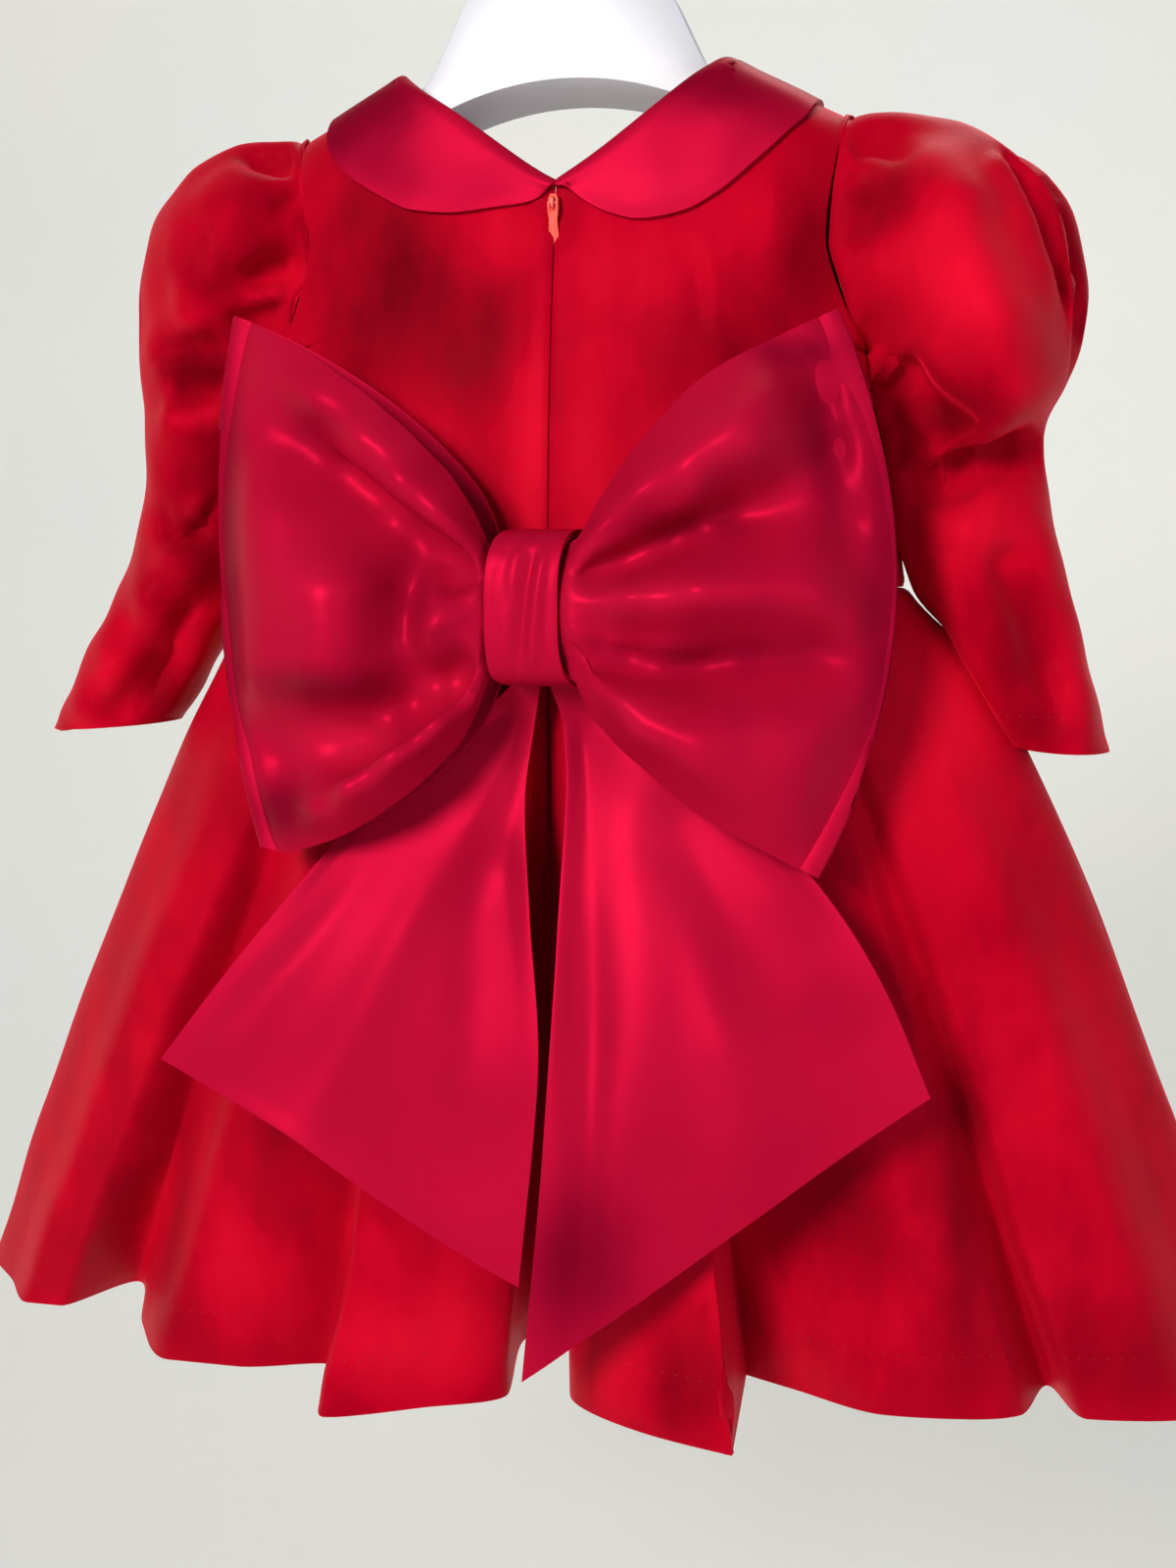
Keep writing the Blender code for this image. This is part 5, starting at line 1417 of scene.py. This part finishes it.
def build_hanger(finish):
    centre = HANGER_ARCH_Z - HANGER_ARCH_RADIUS
    lean = math.asin(HANGER_ARCH_X / HANGER_ARCH_RADIUS)
    under = arc((0.0, centre), HANGER_ARCH_RADIUS, math.pi / 2 - lean, math.pi / 2 + lean, 64)
    edge = smooth_line(HANGER_EDGE, 5)
    left = [(-x, z) for x, z in reversed(edge)]
    shape = bmesh.new()

    def slanted(point):
        """The underside slopes up to its near edge."""
        below = abs(math.hypot(point.x, point.z - centre) - HANGER_ARCH_RADIUS) < 0.01
        slant = HANGER_SLANT * below * (0.5 - point.y / HANGER_THICK)
        return Vector((point.x, point.y, point.z + slant)) * MM

    plate(shape, [edge + under + left], -HANGER_THICK / 2, HANGER_THICK / 2, slanted)
    finished(shape, "hanger_moulding", finish.plastic, "hanger_body", 5.0, segments=5, angle=60.0)

    bend = arc((0.0, -HOOK_RADIUS), HOOK_RADIUS + HOOK_WIRE / 2, math.radians(215.0),
               math.radians(-35.0), 60)
    route = bend + smooth_line([*HOOK_NECK, (0.0, HANGER_EDGE[0][1] + 0.3)], 6)
    wire = bpy.data.curves.new("hook_wire", "CURVE")
    wire.dimensions = "3D"
    wire.bevel_depth = HOOK_WIRE / 2 * MM
    wire.bevel_resolution = 6
    wire.use_fill_caps = True
    spline = wire.splines.new("POLY")
    spline.points.add(len(route) - 1)
    for target, (x, z) in zip(spline.points, route):
        target.co = (x * MM, 0.0, z * MM, 1.0)
    holder = link(bpy.data.objects.new("hook_wire", wire))
    mesh = bpy.data.meshes.new_from_object(holder)
    bpy.data.objects.remove(holder)
    mesh.materials.clear()
    mesh.materials.append(finish.chrome.material)
    mesh.shade_smooth()
    declare(link(bpy.data.objects.new("hanger_hook_wire", mesh)), "hanger_hook")


# ---------------------------------------------------------------- stitches and the zip's coil
STITCH_SIZE = (1.1, 0.22)       # long and thick
STITCH_LIFT = 0.12
COIL_GAP = 1.15
COIL_SIZE = (1.6, 2.0)
COIL_BEHIND = 1.1               # how far behind the velvet the coil lies


def repeat_tree(name, material, round_it):
    """Geometry nodes that set small threads or coils along every line of a mesh."""
    tree = bpy.data.node_groups.new(name, "GeometryNodeTree")
    tree.is_modifier = True
    tree.interface.new_socket("Lines", in_out="INPUT", socket_type="NodeSocketGeometry")
    inputs = {
        title: tree.interface.new_socket(title, in_out="INPUT", socket_type="NodeSocketFloat")
        for title in ("Spacing", "Length", "Thickness")}
    tree.interface.new_socket("Threads", in_out="OUTPUT", socket_type="NodeSocketGeometry")
    given = add(tree, "NodeGroupInput")
    curve = add(tree, "GeometryNodeMeshToCurve", {"Mesh": given.outputs["Lines"]})
    places = add(tree, "GeometryNodeCurveToPoints", {
        "Curve": curve.outputs["Curve"], "Length": given.outputs["Spacing"]}, mode="LENGTH")
    if round_it:
        ring = add(tree, "GeometryNodeCurvePrimitiveCircle", {"Resolution": 10, "Radius": 0.5})
        wire = add(tree, "GeometryNodeCurvePrimitiveCircle", {"Resolution": 5, "Radius": 0.11})
        shape = add(tree, "GeometryNodeCurveToMesh",
                    {"Curve": ring.outputs["Curve"], "Profile Curve": wire.outputs["Curve"]})
    else:
        shape = add(tree, "GeometryNodeMeshIcoSphere", {"Radius": 0.5, "Subdivisions": 2})
    size = add(tree, "ShaderNodeCombineXYZ", {
        "X": given.outputs["Thickness"], "Y": given.outputs["Thickness"],
        "Z": given.outputs["Length"]})
    many = add(tree, "GeometryNodeInstanceOnPoints", {
        "Points": places.outputs["Points"], "Instance": shape.outputs["Mesh"],
        "Rotation": places.outputs["Rotation"], "Scale": size.outputs["Vector"]})
    real = add(tree, "GeometryNodeRealizeInstances", {"Geometry": many.outputs["Instances"]})
    coated = add(tree, "GeometryNodeSetMaterial",
                 {"Geometry": real.outputs["Geometry"], "Material": material})
    add(tree, "NodeGroupOutput", {"Threads": coated.outputs["Geometry"]})
    return tree, inputs


def set_along(name, lines, stock, spacing, long, thick, round_it=False):
    """Set threads or coils along lines of points, in millimetres, as one plain mesh."""
    guide = bpy.data.meshes.new(name + "_guide")
    points = []
    edges = []
    for line in lines:
        first = len(points)
        points += [tuple(float(v) * MM for v in p) for p in line]
        edges += [(first + i, first + i + 1) for i in range(len(line) - 1)]
    guide.from_pydata(points, edges, [])
    holder = link(bpy.data.objects.new(name + "_guide", guide))
    tree, inputs = repeat_tree(name, stock.material, round_it)
    change = holder.modifiers.new("Repeat", "NODES")
    change.node_group = tree
    for title, value in (("Spacing", spacing), ("Length", long), ("Thickness", thick)):
        change[inputs[title].identifier] = value * MM
    ready = holder.evaluated_get(bpy.context.evaluated_depsgraph_get())
    mesh = bpy.data.meshes.new_from_object(ready)
    mesh.name = name
    holder.modifiers.clear()
    bpy.data.objects.remove(holder)
    mesh.materials.clear()
    mesh.materials.append(stock.material)
    mesh.shade_smooth()
    declare(link(bpy.data.objects.new(name, mesh)), None)


def row_above(piece, high):
    """The row of a piece's points that lies that far above its hem, a little outside it."""
    _, points, way = piece
    low = edge_distance(points, False, ("bottom",))
    row = int(np.argmin(np.abs(np.median(low, axis=1) - high)))
    return points[row] + way[row] * STITCH_LIFT


def build_stitches(finish, skirt, sleeves):
    lines = [row_above(piece, HEM_DEPTH) for piece in skirt]
    cuffs = [row_above(piece, CUFF_DEPTH) for piece in sleeves]
    lines += [np.vstack([row, row[:1]]) for row in cuffs]
    set_along("hem_stitches", lines, Stock(finish.thread, "cotton_velvet"), finish.stitch_gap,
              *STITCH_SIZE)
    down = np.linspace(0.03, 1.0, 60)
    seam = bodice_point(np.zeros_like(down), down, 1, -1)
    seam[:, 1] += VELVET_WALL + COIL_BEHIND
    set_along("zip_coil", [seam], Stock(finish.thread, "lacquered_zip"), COIL_GAP, *COIL_SIZE,
              round_it=True)


# ---------------------------------------------------------------- finishes
Finish = namedtuple("Finish", "velvet satin plastic chrome lacquer thread stitch_gap")


def new_material(name, **values):
    """A material whose shader has these values; returns it with its tree."""
    material = bpy.data.materials.new(name)
    material.use_nodes = True
    shader = material.node_tree.nodes["Principled BSDF"]
    for title, value in values.items():
        fill(shader.inputs[title.replace("_", " ")], value)
    return material, material.node_tree


def drive(material, **outputs):
    """Link outputs of the material's nodes to its shader's sockets of these names."""
    shader = material.node_tree.nodes["Principled BSDF"]
    for title, output in outputs.items():
        material.node_tree.links.new(output, shader.inputs[title.replace("_", " ")])
    return material


def nap_and_shade_blend(tree, uneven, low, high, deep, middle, bright):
    """The cloth's colour by its painted patches, deep where dark and bright where bright: on velvet
    partly its pile, partly painted shade and light; on satin painted shade and highlights.
    """
    nap_and_shade = add(tree, "ShaderNodeAttribute", attribute_name="nap_and_shade").outputs["Fac"]
    lean = add(tree, "ShaderNodeMath", {0: nap_and_shade, 1: uneven}).outputs[0]
    for (start, end), colour in ((low, middle), (high, bright)):
        share = add(tree, "ShaderNodeMapRange", {"Value": lean, "From Min": start, "From Max": end})
        blend = add(tree, "ShaderNodeMix", {"Factor": share.outputs["Result"], 6: deep, 7: colour},
                    data_type="RGBA")
        deep = blend.outputs[2]
    return deep


def cotton_velvet(colours):
    """Cotton woven with a cut pile. Its colour is painted brighter at a slant, a painted sheen on
    top of the shader's own, and darker or brighter in patches: partly brushed pile, partly painted
    shade and light."""
    material, tree = new_material("cotton_velvet_pile", Sheen_Weight=0.60, Sheen_Roughness=0.32,
                                  Sheen_Tint=linear("FF1A42"), Specular_IOR_Level=0.14,
                                  Specular_Tint=linear("FF3A50"))
    place = add(tree, "ShaderNodeTexCoord").outputs["Object"]
    patches = add(tree, "ShaderNodeTexNoise", {
        "Vector": place, "Scale": 14.0, "Detail": 3.0, "Roughness": 0.55, "Distortion": 0.5})
    drawn = add(tree, "ShaderNodeMapping", {"Vector": place, "Scale": (38.0, 38.0, 16.0)})
    streaks = add(tree, "ShaderNodeTexNoise", {
        "Vector": drawn.outputs["Vector"], "Scale": 1.0, "Detail": 3.0, "Roughness": 0.6})
    both = add(tree, "ShaderNodeMath", {0: patches.outputs["Fac"], 1: streaks.outputs["Fac"]},
               operation="MULTIPLY")
    uneven = add(tree, "ShaderNodeMapRange", {
        "Value": both.outputs[0], "From Min": 0.14, "From Max": 0.38, "To Min": -0.30,
        "To Max": 0.30})
    brushed = nap_and_shade_blend(tree, uneven.outputs["Result"], (-1.0, 0.1), (0.0, 1.0),
                        colours.velvet_deep, colours.velvet, colours.velvet_bright_painted_sheen)
    # Painted sheen: the colour turns to the bright red where the surface is seen at a slant.
    slant = add(tree, "ShaderNodeLayerWeight", {"Blend": 0.22})
    bright = add(tree, "ShaderNodeMix", {
        "Factor": slant.outputs["Facing"], 6: brushed, 7: colours.velvet_bright_painted_sheen},
        data_type="RGBA")
    rough = add(tree, "ShaderNodeMapRange", {
        "Value": patches.outputs["Fac"], "From Min": 0.3, "From Max": 0.7, "To Min": 0.44,
        "To Max": 0.58})
    # The real pile is 0.3 mm across; it is drawn at 0.9 mm so that it shows.
    pile = add(tree, "ShaderNodeTexNoise", {"Vector": place, "Scale": 1100.0, "Detail": 2.0})
    soft = add(tree, "ShaderNodeTexNoise", {
        "Vector": place, "Scale": 95.0, "Detail": 3.0, "Roughness": 0.55})
    first = add(tree, "ShaderNodeBump", {
        "Height": soft.outputs["Fac"], "Strength": 0.22, "Distance": 0.0012})
    second = add(tree, "ShaderNodeBump", {
        "Height": pile.outputs["Fac"], "Strength": 0.30, "Distance": 0.0003,
        "Normal": first.outputs["Normal"]})
    return drive(material, Base_Color=bright.outputs[2], Roughness=rough.outputs["Result"],
                 Normal=second.outputs["Normal"])


def duchess_satin(colours):
    """Heavy satin weave, its long floats calendered smooth: a broad soft shine and a fine rib."""
    material, tree = new_material("duchess_satin_weave", Metallic=0.17, Roughness=0.44,
                                  Specular_IOR_Level=0.07, Specular_Tint=linear("FF4468"))
    place = add(tree, "ShaderNodeTexCoord")
    cloud = add(tree, "ShaderNodeTexNoise", {
        "Vector": place.outputs["Object"], "Scale": 20.0, "Detail": 3.0})
    uneven = add(tree, "ShaderNodeMapRange", {
        "Value": cloud.outputs["Fac"], "From Min": 0.3, "From Max": 0.7, "To Min": -0.12,
        "To Max": 0.12})
    # Painted shade and painted highlights: the satin turns deep or bright red in its painted
    # patches.
    blend = nap_and_shade_blend(tree, uneven.outputs["Result"], (-1.1, 0.0), (0.0, 1.4),
                      colours.satin_painted_shade, colours.satin, colours.satin_painted_highlight)
    # Floats lie 0.12 mm apart; the rib is drawn every 0.6 mm so that it shows.
    warp = add(tree, "ShaderNodeMapping", {
        "Vector": place.outputs["UV"], "Scale": (1700.0, 300.0, 1.0)})
    weave = add(tree, "ShaderNodeTexNoise", {
        "Vector": warp.outputs["Vector"], "Scale": 1.0, "Detail": 2.0})
    ripple = add(tree, "ShaderNodeTexNoise", {
        "Vector": place.outputs["Object"], "Scale": 60.0, "Detail": 2.0})
    first = add(tree, "ShaderNodeBump", {
        "Height": ripple.outputs["Fac"], "Strength": 0.05, "Distance": 0.001})
    second = add(tree, "ShaderNodeBump", {
        "Height": weave.outputs["Fac"], "Strength": 0.14, "Distance": 0.0002,
        "Normal": first.outputs["Normal"]})
    return drive(material, Base_Color=blend, Normal=second.outputs["Normal"])


def moulded_polystyrene(colours):
    """Injection-moulded polystyrene: smooth, with a slight orange peel from the mould."""
    material, tree = new_material("moulded_polystyrene_white", Roughness=0.32)
    place = add(tree, "ShaderNodeTexCoord").outputs["Object"]
    cloud = add(tree, "ShaderNodeTexNoise", {"Vector": place, "Scale": 12.0, "Detail": 2.0})
    blend = add(tree, "ShaderNodeMix", {
        "Factor": cloud.outputs["Fac"], 6: colours.hanger, 7: linear("ACB2C0")},
        data_type="RGBA")
    # Painted light: the down-facing parts are painted a brighter, cooler white than the sides, as
    # if lit from below.
    facing = add(tree, "ShaderNodeNewGeometry").outputs["Normal"]
    turned = add(tree, "ShaderNodeSeparateXYZ", {"Vector": facing})
    low = add(tree, "ShaderNodeMapRange", {
        "Value": turned.outputs["Z"], "From Min": -0.1, "From Max": -0.6})
    underside_painted_light = add(tree, "ShaderNodeMix", {
        "Factor": low.outputs["Result"], 6: blend.outputs[2], 7: linear("F2F6FF")},
        data_type="RGBA")
    peel = add(tree, "ShaderNodeTexNoise", {"Vector": place, "Scale": 320.0, "Detail": 1.0})
    bump = add(tree, "ShaderNodeBump", {
        "Height": peel.outputs["Fac"], "Strength": 0.05, "Distance": 0.0003})
    return drive(material, Base_Color=underside_painted_light.outputs[2], Normal=bump.outputs["Normal"])


def chromed_wire():
    """Drawn steel wire, chrome plated: a mirror with faint lines from the drawing."""
    material, tree = new_material("chromed_steel_wire", Metallic=1.0, Base_Color=linear("C8CACD"))
    place = add(tree, "ShaderNodeTexCoord").outputs["Object"]
    wear = add(tree, "ShaderNodeTexNoise", {"Vector": place, "Scale": 420.0, "Detail": 3.0})
    rough = add(tree, "ShaderNodeMapRange", {
        "Value": wear.outputs["Fac"], "To Min": 0.08, "To Max": 0.24})
    return drive(material, Roughness=rough.outputs["Result"])


def clouded(name, scale, detail, first, second, **values):
    """A material whose colour drifts a little between two colours."""
    material, tree = new_material(name, **values)
    place = add(tree, "ShaderNodeTexCoord").outputs["Object"]
    cloud = add(tree, "ShaderNodeTexNoise", {"Vector": place, "Scale": scale, "Detail": detail})
    blend = add(tree, "ShaderNodeMix", {"Factor": cloud.outputs["Fac"], 6: first, 7: second},
                data_type="RGBA")
    return drive(material, Base_Color=blend.outputs[2])


def zip_lacquer(colours):
    """Zinc die casting under coloured lacquer: glossy, pooled a little thicker in places."""
    return clouded("lacquered_zinc", 300.0, 2.0, colours.lacquer, linear("FF5A46"),
                   Coat_Weight=0.2, Coat_Roughness=0.30, Roughness=0.50)


def sewing_thread(colours):
    """Spun polyester thread and zip coil: a soft twist, dyed to the velvet."""
    return clouded("spun_polyester_thread", 2500.0, 1.0, colours.velvet_deep, colours.velvet,
                   Roughness=0.6, Sheen_Weight=0.2)


def matt_paper():
    """Pale matt paper on the studio's floor and wall."""
    return clouded("matt_paper_backdrop", 1.5, 2.0, linear("E6E5DF"), linear("E0E3E3"),
                   Roughness=0.9, Specular_IOR_Level=0.2)


# ---------------------------------------------------------------- sizes and colours to change
class DressColours(bpy.types.PropertyGroup):
    velvet: bpy.props.FloatVectorProperty(
        name="Velvet", description="Velvet with its pile lying down", subtype="COLOR", min=0.0,
        max=1.0, default=linear("A8001E"))
    # Velvet, deep and Velvet, bright are mixed in by the painted patches, partly brushed pile and
    # partly painted shade and light; Velvet, bright is also the painted sheen at a slant.
    velvet_deep: bpy.props.FloatVectorProperty(
        name="Velvet, deep", description="Velvet with its pile brushed up", subtype="COLOR",
        min=0.0, max=1.0, default=linear("5C000A"))
    velvet_bright_painted_sheen: bpy.props.FloatVectorProperty(
        name="Velvet, bright", description="Velvet seen at a slant", subtype="COLOR", min=0.0,
        max=1.0, default=linear("CE0A2A"))
    satin: bpy.props.FloatVectorProperty(
        name="Satin", description="Satin of the bow and the collar", subtype="COLOR", min=0.0,
        max=1.0, default=linear("AA0A2F"))
    # Satin, deep is a painted shade colour and Satin, bright a painted highlight colour, mixed into
    # the satin by its painted patches.
    satin_painted_shade: bpy.props.FloatVectorProperty(
        name="Satin, deep", description="Satin in its darker places", subtype="COLOR", min=0.0,
        max=1.0, default=linear("70021E"))
    satin_painted_highlight: bpy.props.FloatVectorProperty(
        name="Satin, bright", description="Satin whose floats lie toward the light",
        subtype="COLOR", min=0.0, max=1.0, default=linear("C2143A"))
    hanger: bpy.props.FloatVectorProperty(
        name="Hanger", description="Moulded hanger", subtype="COLOR", min=0.0, max=1.0,
        default=linear("B2B6C0"))
    lacquer: bpy.props.FloatVectorProperty(
        name="Zip lacquer", description="Lacquer of the slider and its pull", subtype="COLOR",
        min=0.0, max=1.0, default=linear("E03024"))


class DressSizes(bpy.types.PropertyGroup):
    velvet_wall: bpy.props.FloatProperty(
        name="Velvet thickness", description="Thickness of the velvet with its pile", unit="LENGTH",
        default=VELVET_WALL * MM, min=0.0008, max=0.003)
    satin_wall: bpy.props.FloatProperty(
        name="Satin thickness",
        description="Thickness of the bow's satin, two layers and stiffening", unit="LENGTH",
        default=SATIN_WALL * MM, min=0.0008, max=0.003)
    stitch_gap: bpy.props.FloatProperty(
        name="Stitch spacing", description="Distance between two stitches of a hem", unit="LENGTH",
        default=0.0052, min=0.002, max=0.012)
    camera_lens: bpy.props.FloatProperty(
        name="Lens", description="Focal length of the camera", unit="CAMERA", default=42.19,
        min=20.0, max=120.0)
    floor_height: bpy.props.FloatProperty(
        name="Floor height", description="Height of the floor, from the hanger's hook",
        unit="LENGTH", default=-1.1, min=-3.0, max=-0.8)


def settings():
    return bpy.context.scene.dress_sizes, bpy.context.scene.dress_colours


MADE = {}


def finishes():
    """The finishes, made once."""
    if "finishes" not in MADE:
        sizes, colours = settings()
        MADE["finishes"] = Finish(
            Stock(cotton_velvet(colours), "cotton_velvet", sizes.velvet_wall / MM),
            Stock(duchess_satin(colours), "duchess_satin", sizes.satin_wall / MM),
            Stock(moulded_polystyrene(colours), "moulded_polystyrene"),
            Stock(chromed_wire(), "chromed_wire"),
            Stock(zip_lacquer(colours), "lacquered_zip"),
            sewing_thread(colours), sizes.stitch_gap / MM)
    return MADE["finishes"]


# ---------------------------------------------------------------- operators
class DRESS_OT_hanger(bpy.types.Operator):
    """Build the moulded hanger and its hook"""
    bl_idname = "dress.hanger"
    bl_label = "Hanger"

    def execute(self, context):
        build_hanger(finishes())
        return {"FINISHED"}


class DRESS_OT_bodice(bpy.types.Operator):
    """Build the bodice's back and front panels"""
    bl_idname = "dress.bodice"
    bl_label = "Bodice"

    def execute(self, context):
        build_bodice(finishes())
        return {"FINISHED"}


class DRESS_OT_skirt(bpy.types.Operator):
    """Build the pleated skirt panels"""
    bl_idname = "dress.skirt"
    bl_label = "Skirt"

    def execute(self, context):
        MADE["skirt"] = build_skirt(finishes())
        return {"FINISHED"}


class DRESS_OT_sleeves(bpy.types.Operator):
    """Build the gathered leg-of-mutton sleeves"""
    bl_idname = "dress.sleeves"
    bl_label = "Sleeves"

    def execute(self, context):
        MADE["sleeves"] = build_sleeves(finishes())
        return {"FINISHED"}


class DRESS_OT_collar(bpy.types.Operator):
    """Build the two halves of the satin collar"""
    bl_idname = "dress.collar"
    bl_label = "Collar"

    def execute(self, context):
        build_collar(finishes())
        return {"FINISHED"}


class DRESS_OT_bow(bpy.types.Operator):
    """Build the bow's loops, tails and knot"""
    bl_idname = "dress.bow"
    bl_label = "Bow"

    def execute(self, context):
        build_bow(finishes())
        return {"FINISHED"}


class DRESS_OT_zip(bpy.types.Operator):
    """Build the zip's slider and its pull"""
    bl_idname = "dress.zip"
    bl_label = "Zip"

    def execute(self, context):
        build_zip(finishes())
        return {"FINISHED"}


class DRESS_OT_stitches(bpy.types.Operator):
    """Set the hems' stitches and the zip's coil"""
    bl_idname = "dress.stitches"
    bl_label = "Stitches"

    def execute(self, context):
        build_stitches(finishes(), MADE["skirt"], MADE["sleeves"])
        return {"FINISHED"}


class DRESS_OT_stage(bpy.types.Operator):
    """Set up the pale floor, the soft lights and the camera"""
    bl_idname = "dress.stage"
    bl_label = "Stage"

    def execute(self, context):
        build_stage()
        return {"FINISHED"}


class DRESS_PT_panel(bpy.types.Panel):
    """The dress's sizes, colours and pieces"""
    bl_idname = "DRESS_PT_panel"
    bl_label = "Toddler Party Dress"
    bl_space_type = "VIEW_3D"
    bl_region_type = "UI"
    bl_category = "Dress"

    def draw(self, context):
        sizes, colours = settings()
        for group in (sizes, colours):
            for name in group.bl_rna.properties.keys():
                if name not in ("rna_type", "name"):
                    self.layout.prop(group, name)
        for kind in OPERATORS:
            self.layout.operator(kind.bl_idname)


OPERATORS = (DRESS_OT_hanger, DRESS_OT_bodice, DRESS_OT_skirt, DRESS_OT_sleeves, DRESS_OT_collar,
             DRESS_OT_bow, DRESS_OT_zip, DRESS_OT_stitches, DRESS_OT_stage)
CLASSES = (DressColours, DressSizes, *OPERATORS, DRESS_PT_panel)


def register():
    for kind in CLASSES:
        bpy.utils.register_class(kind)
    bpy.types.Scene.dress_sizes = bpy.props.PointerProperty(type=DressSizes)
    bpy.types.Scene.dress_colours = bpy.props.PointerProperty(type=DressColours)


def unregister():
    del bpy.types.Scene.dress_sizes
    del bpy.types.Scene.dress_colours
    for kind in reversed(CLASSES):
        bpy.utils.unregister_class(kind)


# ---------------------------------------------------------------- stage
CAMERA_PLACE = (0.1614, -0.7324, -0.330)
CAMERA_TURN = (82.105, 0.0, 12.0)
Lamp = namedtuple("Lamp", "name place aim wide watts colour")
LAMPS = (
    Lamp("key", (-0.42, -1.58, 0.16), (0.0, 0.0, -0.42), 0.5, 28.0, "FFF8F2"),
    Lamp("fill", (1.3, -1.2, -0.3), (0.0, 0.0, -0.42), 1.0, 5.0, "F4F4FF"),
    Lamp("back", (0.5, 1.9, 1.9), (0.0, 0.0, -0.45), 1.4, 18.0, "FFFCFA"),
    Lamp("wash", (0.0, 0.9, 1.6), (-0.5, 3.2, -0.1), 1.6, 34.0, "FFFFFF"),
)
ROOM_COLOUR = "F2F2F0"
ROOM_LIGHT = 0.14
SWEEP = (               # the floor's profile, out and up, in metres: flat, then curving up
    (0.0, 0.0), (0.8, 0.0), (1.3, 0.04), (1.9, 0.2), (2.5, 0.6), (2.9, 1.1), (3.15, 1.8),
    (3.2, 3.6),
)


def build_stage():
    sizes, _ = settings()
    lens = bpy.data.cameras.new("camera")
    lens.lens = sizes.camera_lens
    lens.sensor_width = 36.0
    lens.clip_start = 0.01
    camera = link(bpy.data.objects.new("camera", lens))
    camera.location = CAMERA_PLACE
    camera.rotation_euler = [math.radians(a) for a in CAMERA_TURN]
    bpy.context.scene.camera = camera
    bpy.context.scene.view_settings.view_transform = "Standard"

    for lamp in LAMPS:
        light = bpy.data.lights.new(lamp.name, "AREA")
        light.shape = "DISK"
        light.size = lamp.wide
        light.energy = lamp.watts
        light.color = linear(lamp.colour)
        item = link(bpy.data.objects.new(lamp.name, light))
        item.location = lamp.place
        item.visible_camera = False
        aim = Vector(lamp.aim) - Vector(lamp.place)
        item.rotation_euler = aim.to_track_quat("-Z", "Y").to_euler()

    world = bpy.data.worlds.new("soft_room")
    world.use_nodes = True
    room = world.node_tree.nodes["Background"]
    fill(room.inputs["Color"], linear(ROOM_COLOUR))
    fill(room.inputs["Strength"], ROOM_LIGHT)
    bpy.context.scene.world = world

    shape = bmesh.new()
    line = [shape.verts.new((out, 0.0, up + sizes.floor_height))
            for out, up in smooth_line(SWEEP, 6)]
    edges = [shape.edges.new(pair) for pair in zip(line, line[1:])]
    bmesh.ops.spin(shape, geom=line + edges, cent=(0, 0, 0), axis=(0, 0, 1), angle=2 * math.pi,
                   steps=96, use_duplicate=False)
    bmesh.ops.remove_doubles(shape, verts=shape.verts, dist=0.0001)
    bmesh.ops.recalc_face_normals(shape, faces=shape.faces)
    mesh = bpy.data.meshes.new("studio_floor")
    shape.to_mesh(mesh)
    shape.free()
    mesh.shade_smooth()
    mesh.materials.append(matt_paper())
    link(bpy.data.objects.new("studio_floor", mesh))


def main():
    register()
    for kind in OPERATORS:
        group, name = kind.bl_idname.split(".")
        getattr(getattr(bpy.ops, group), name)()


if __name__ == "__main__":
    main()
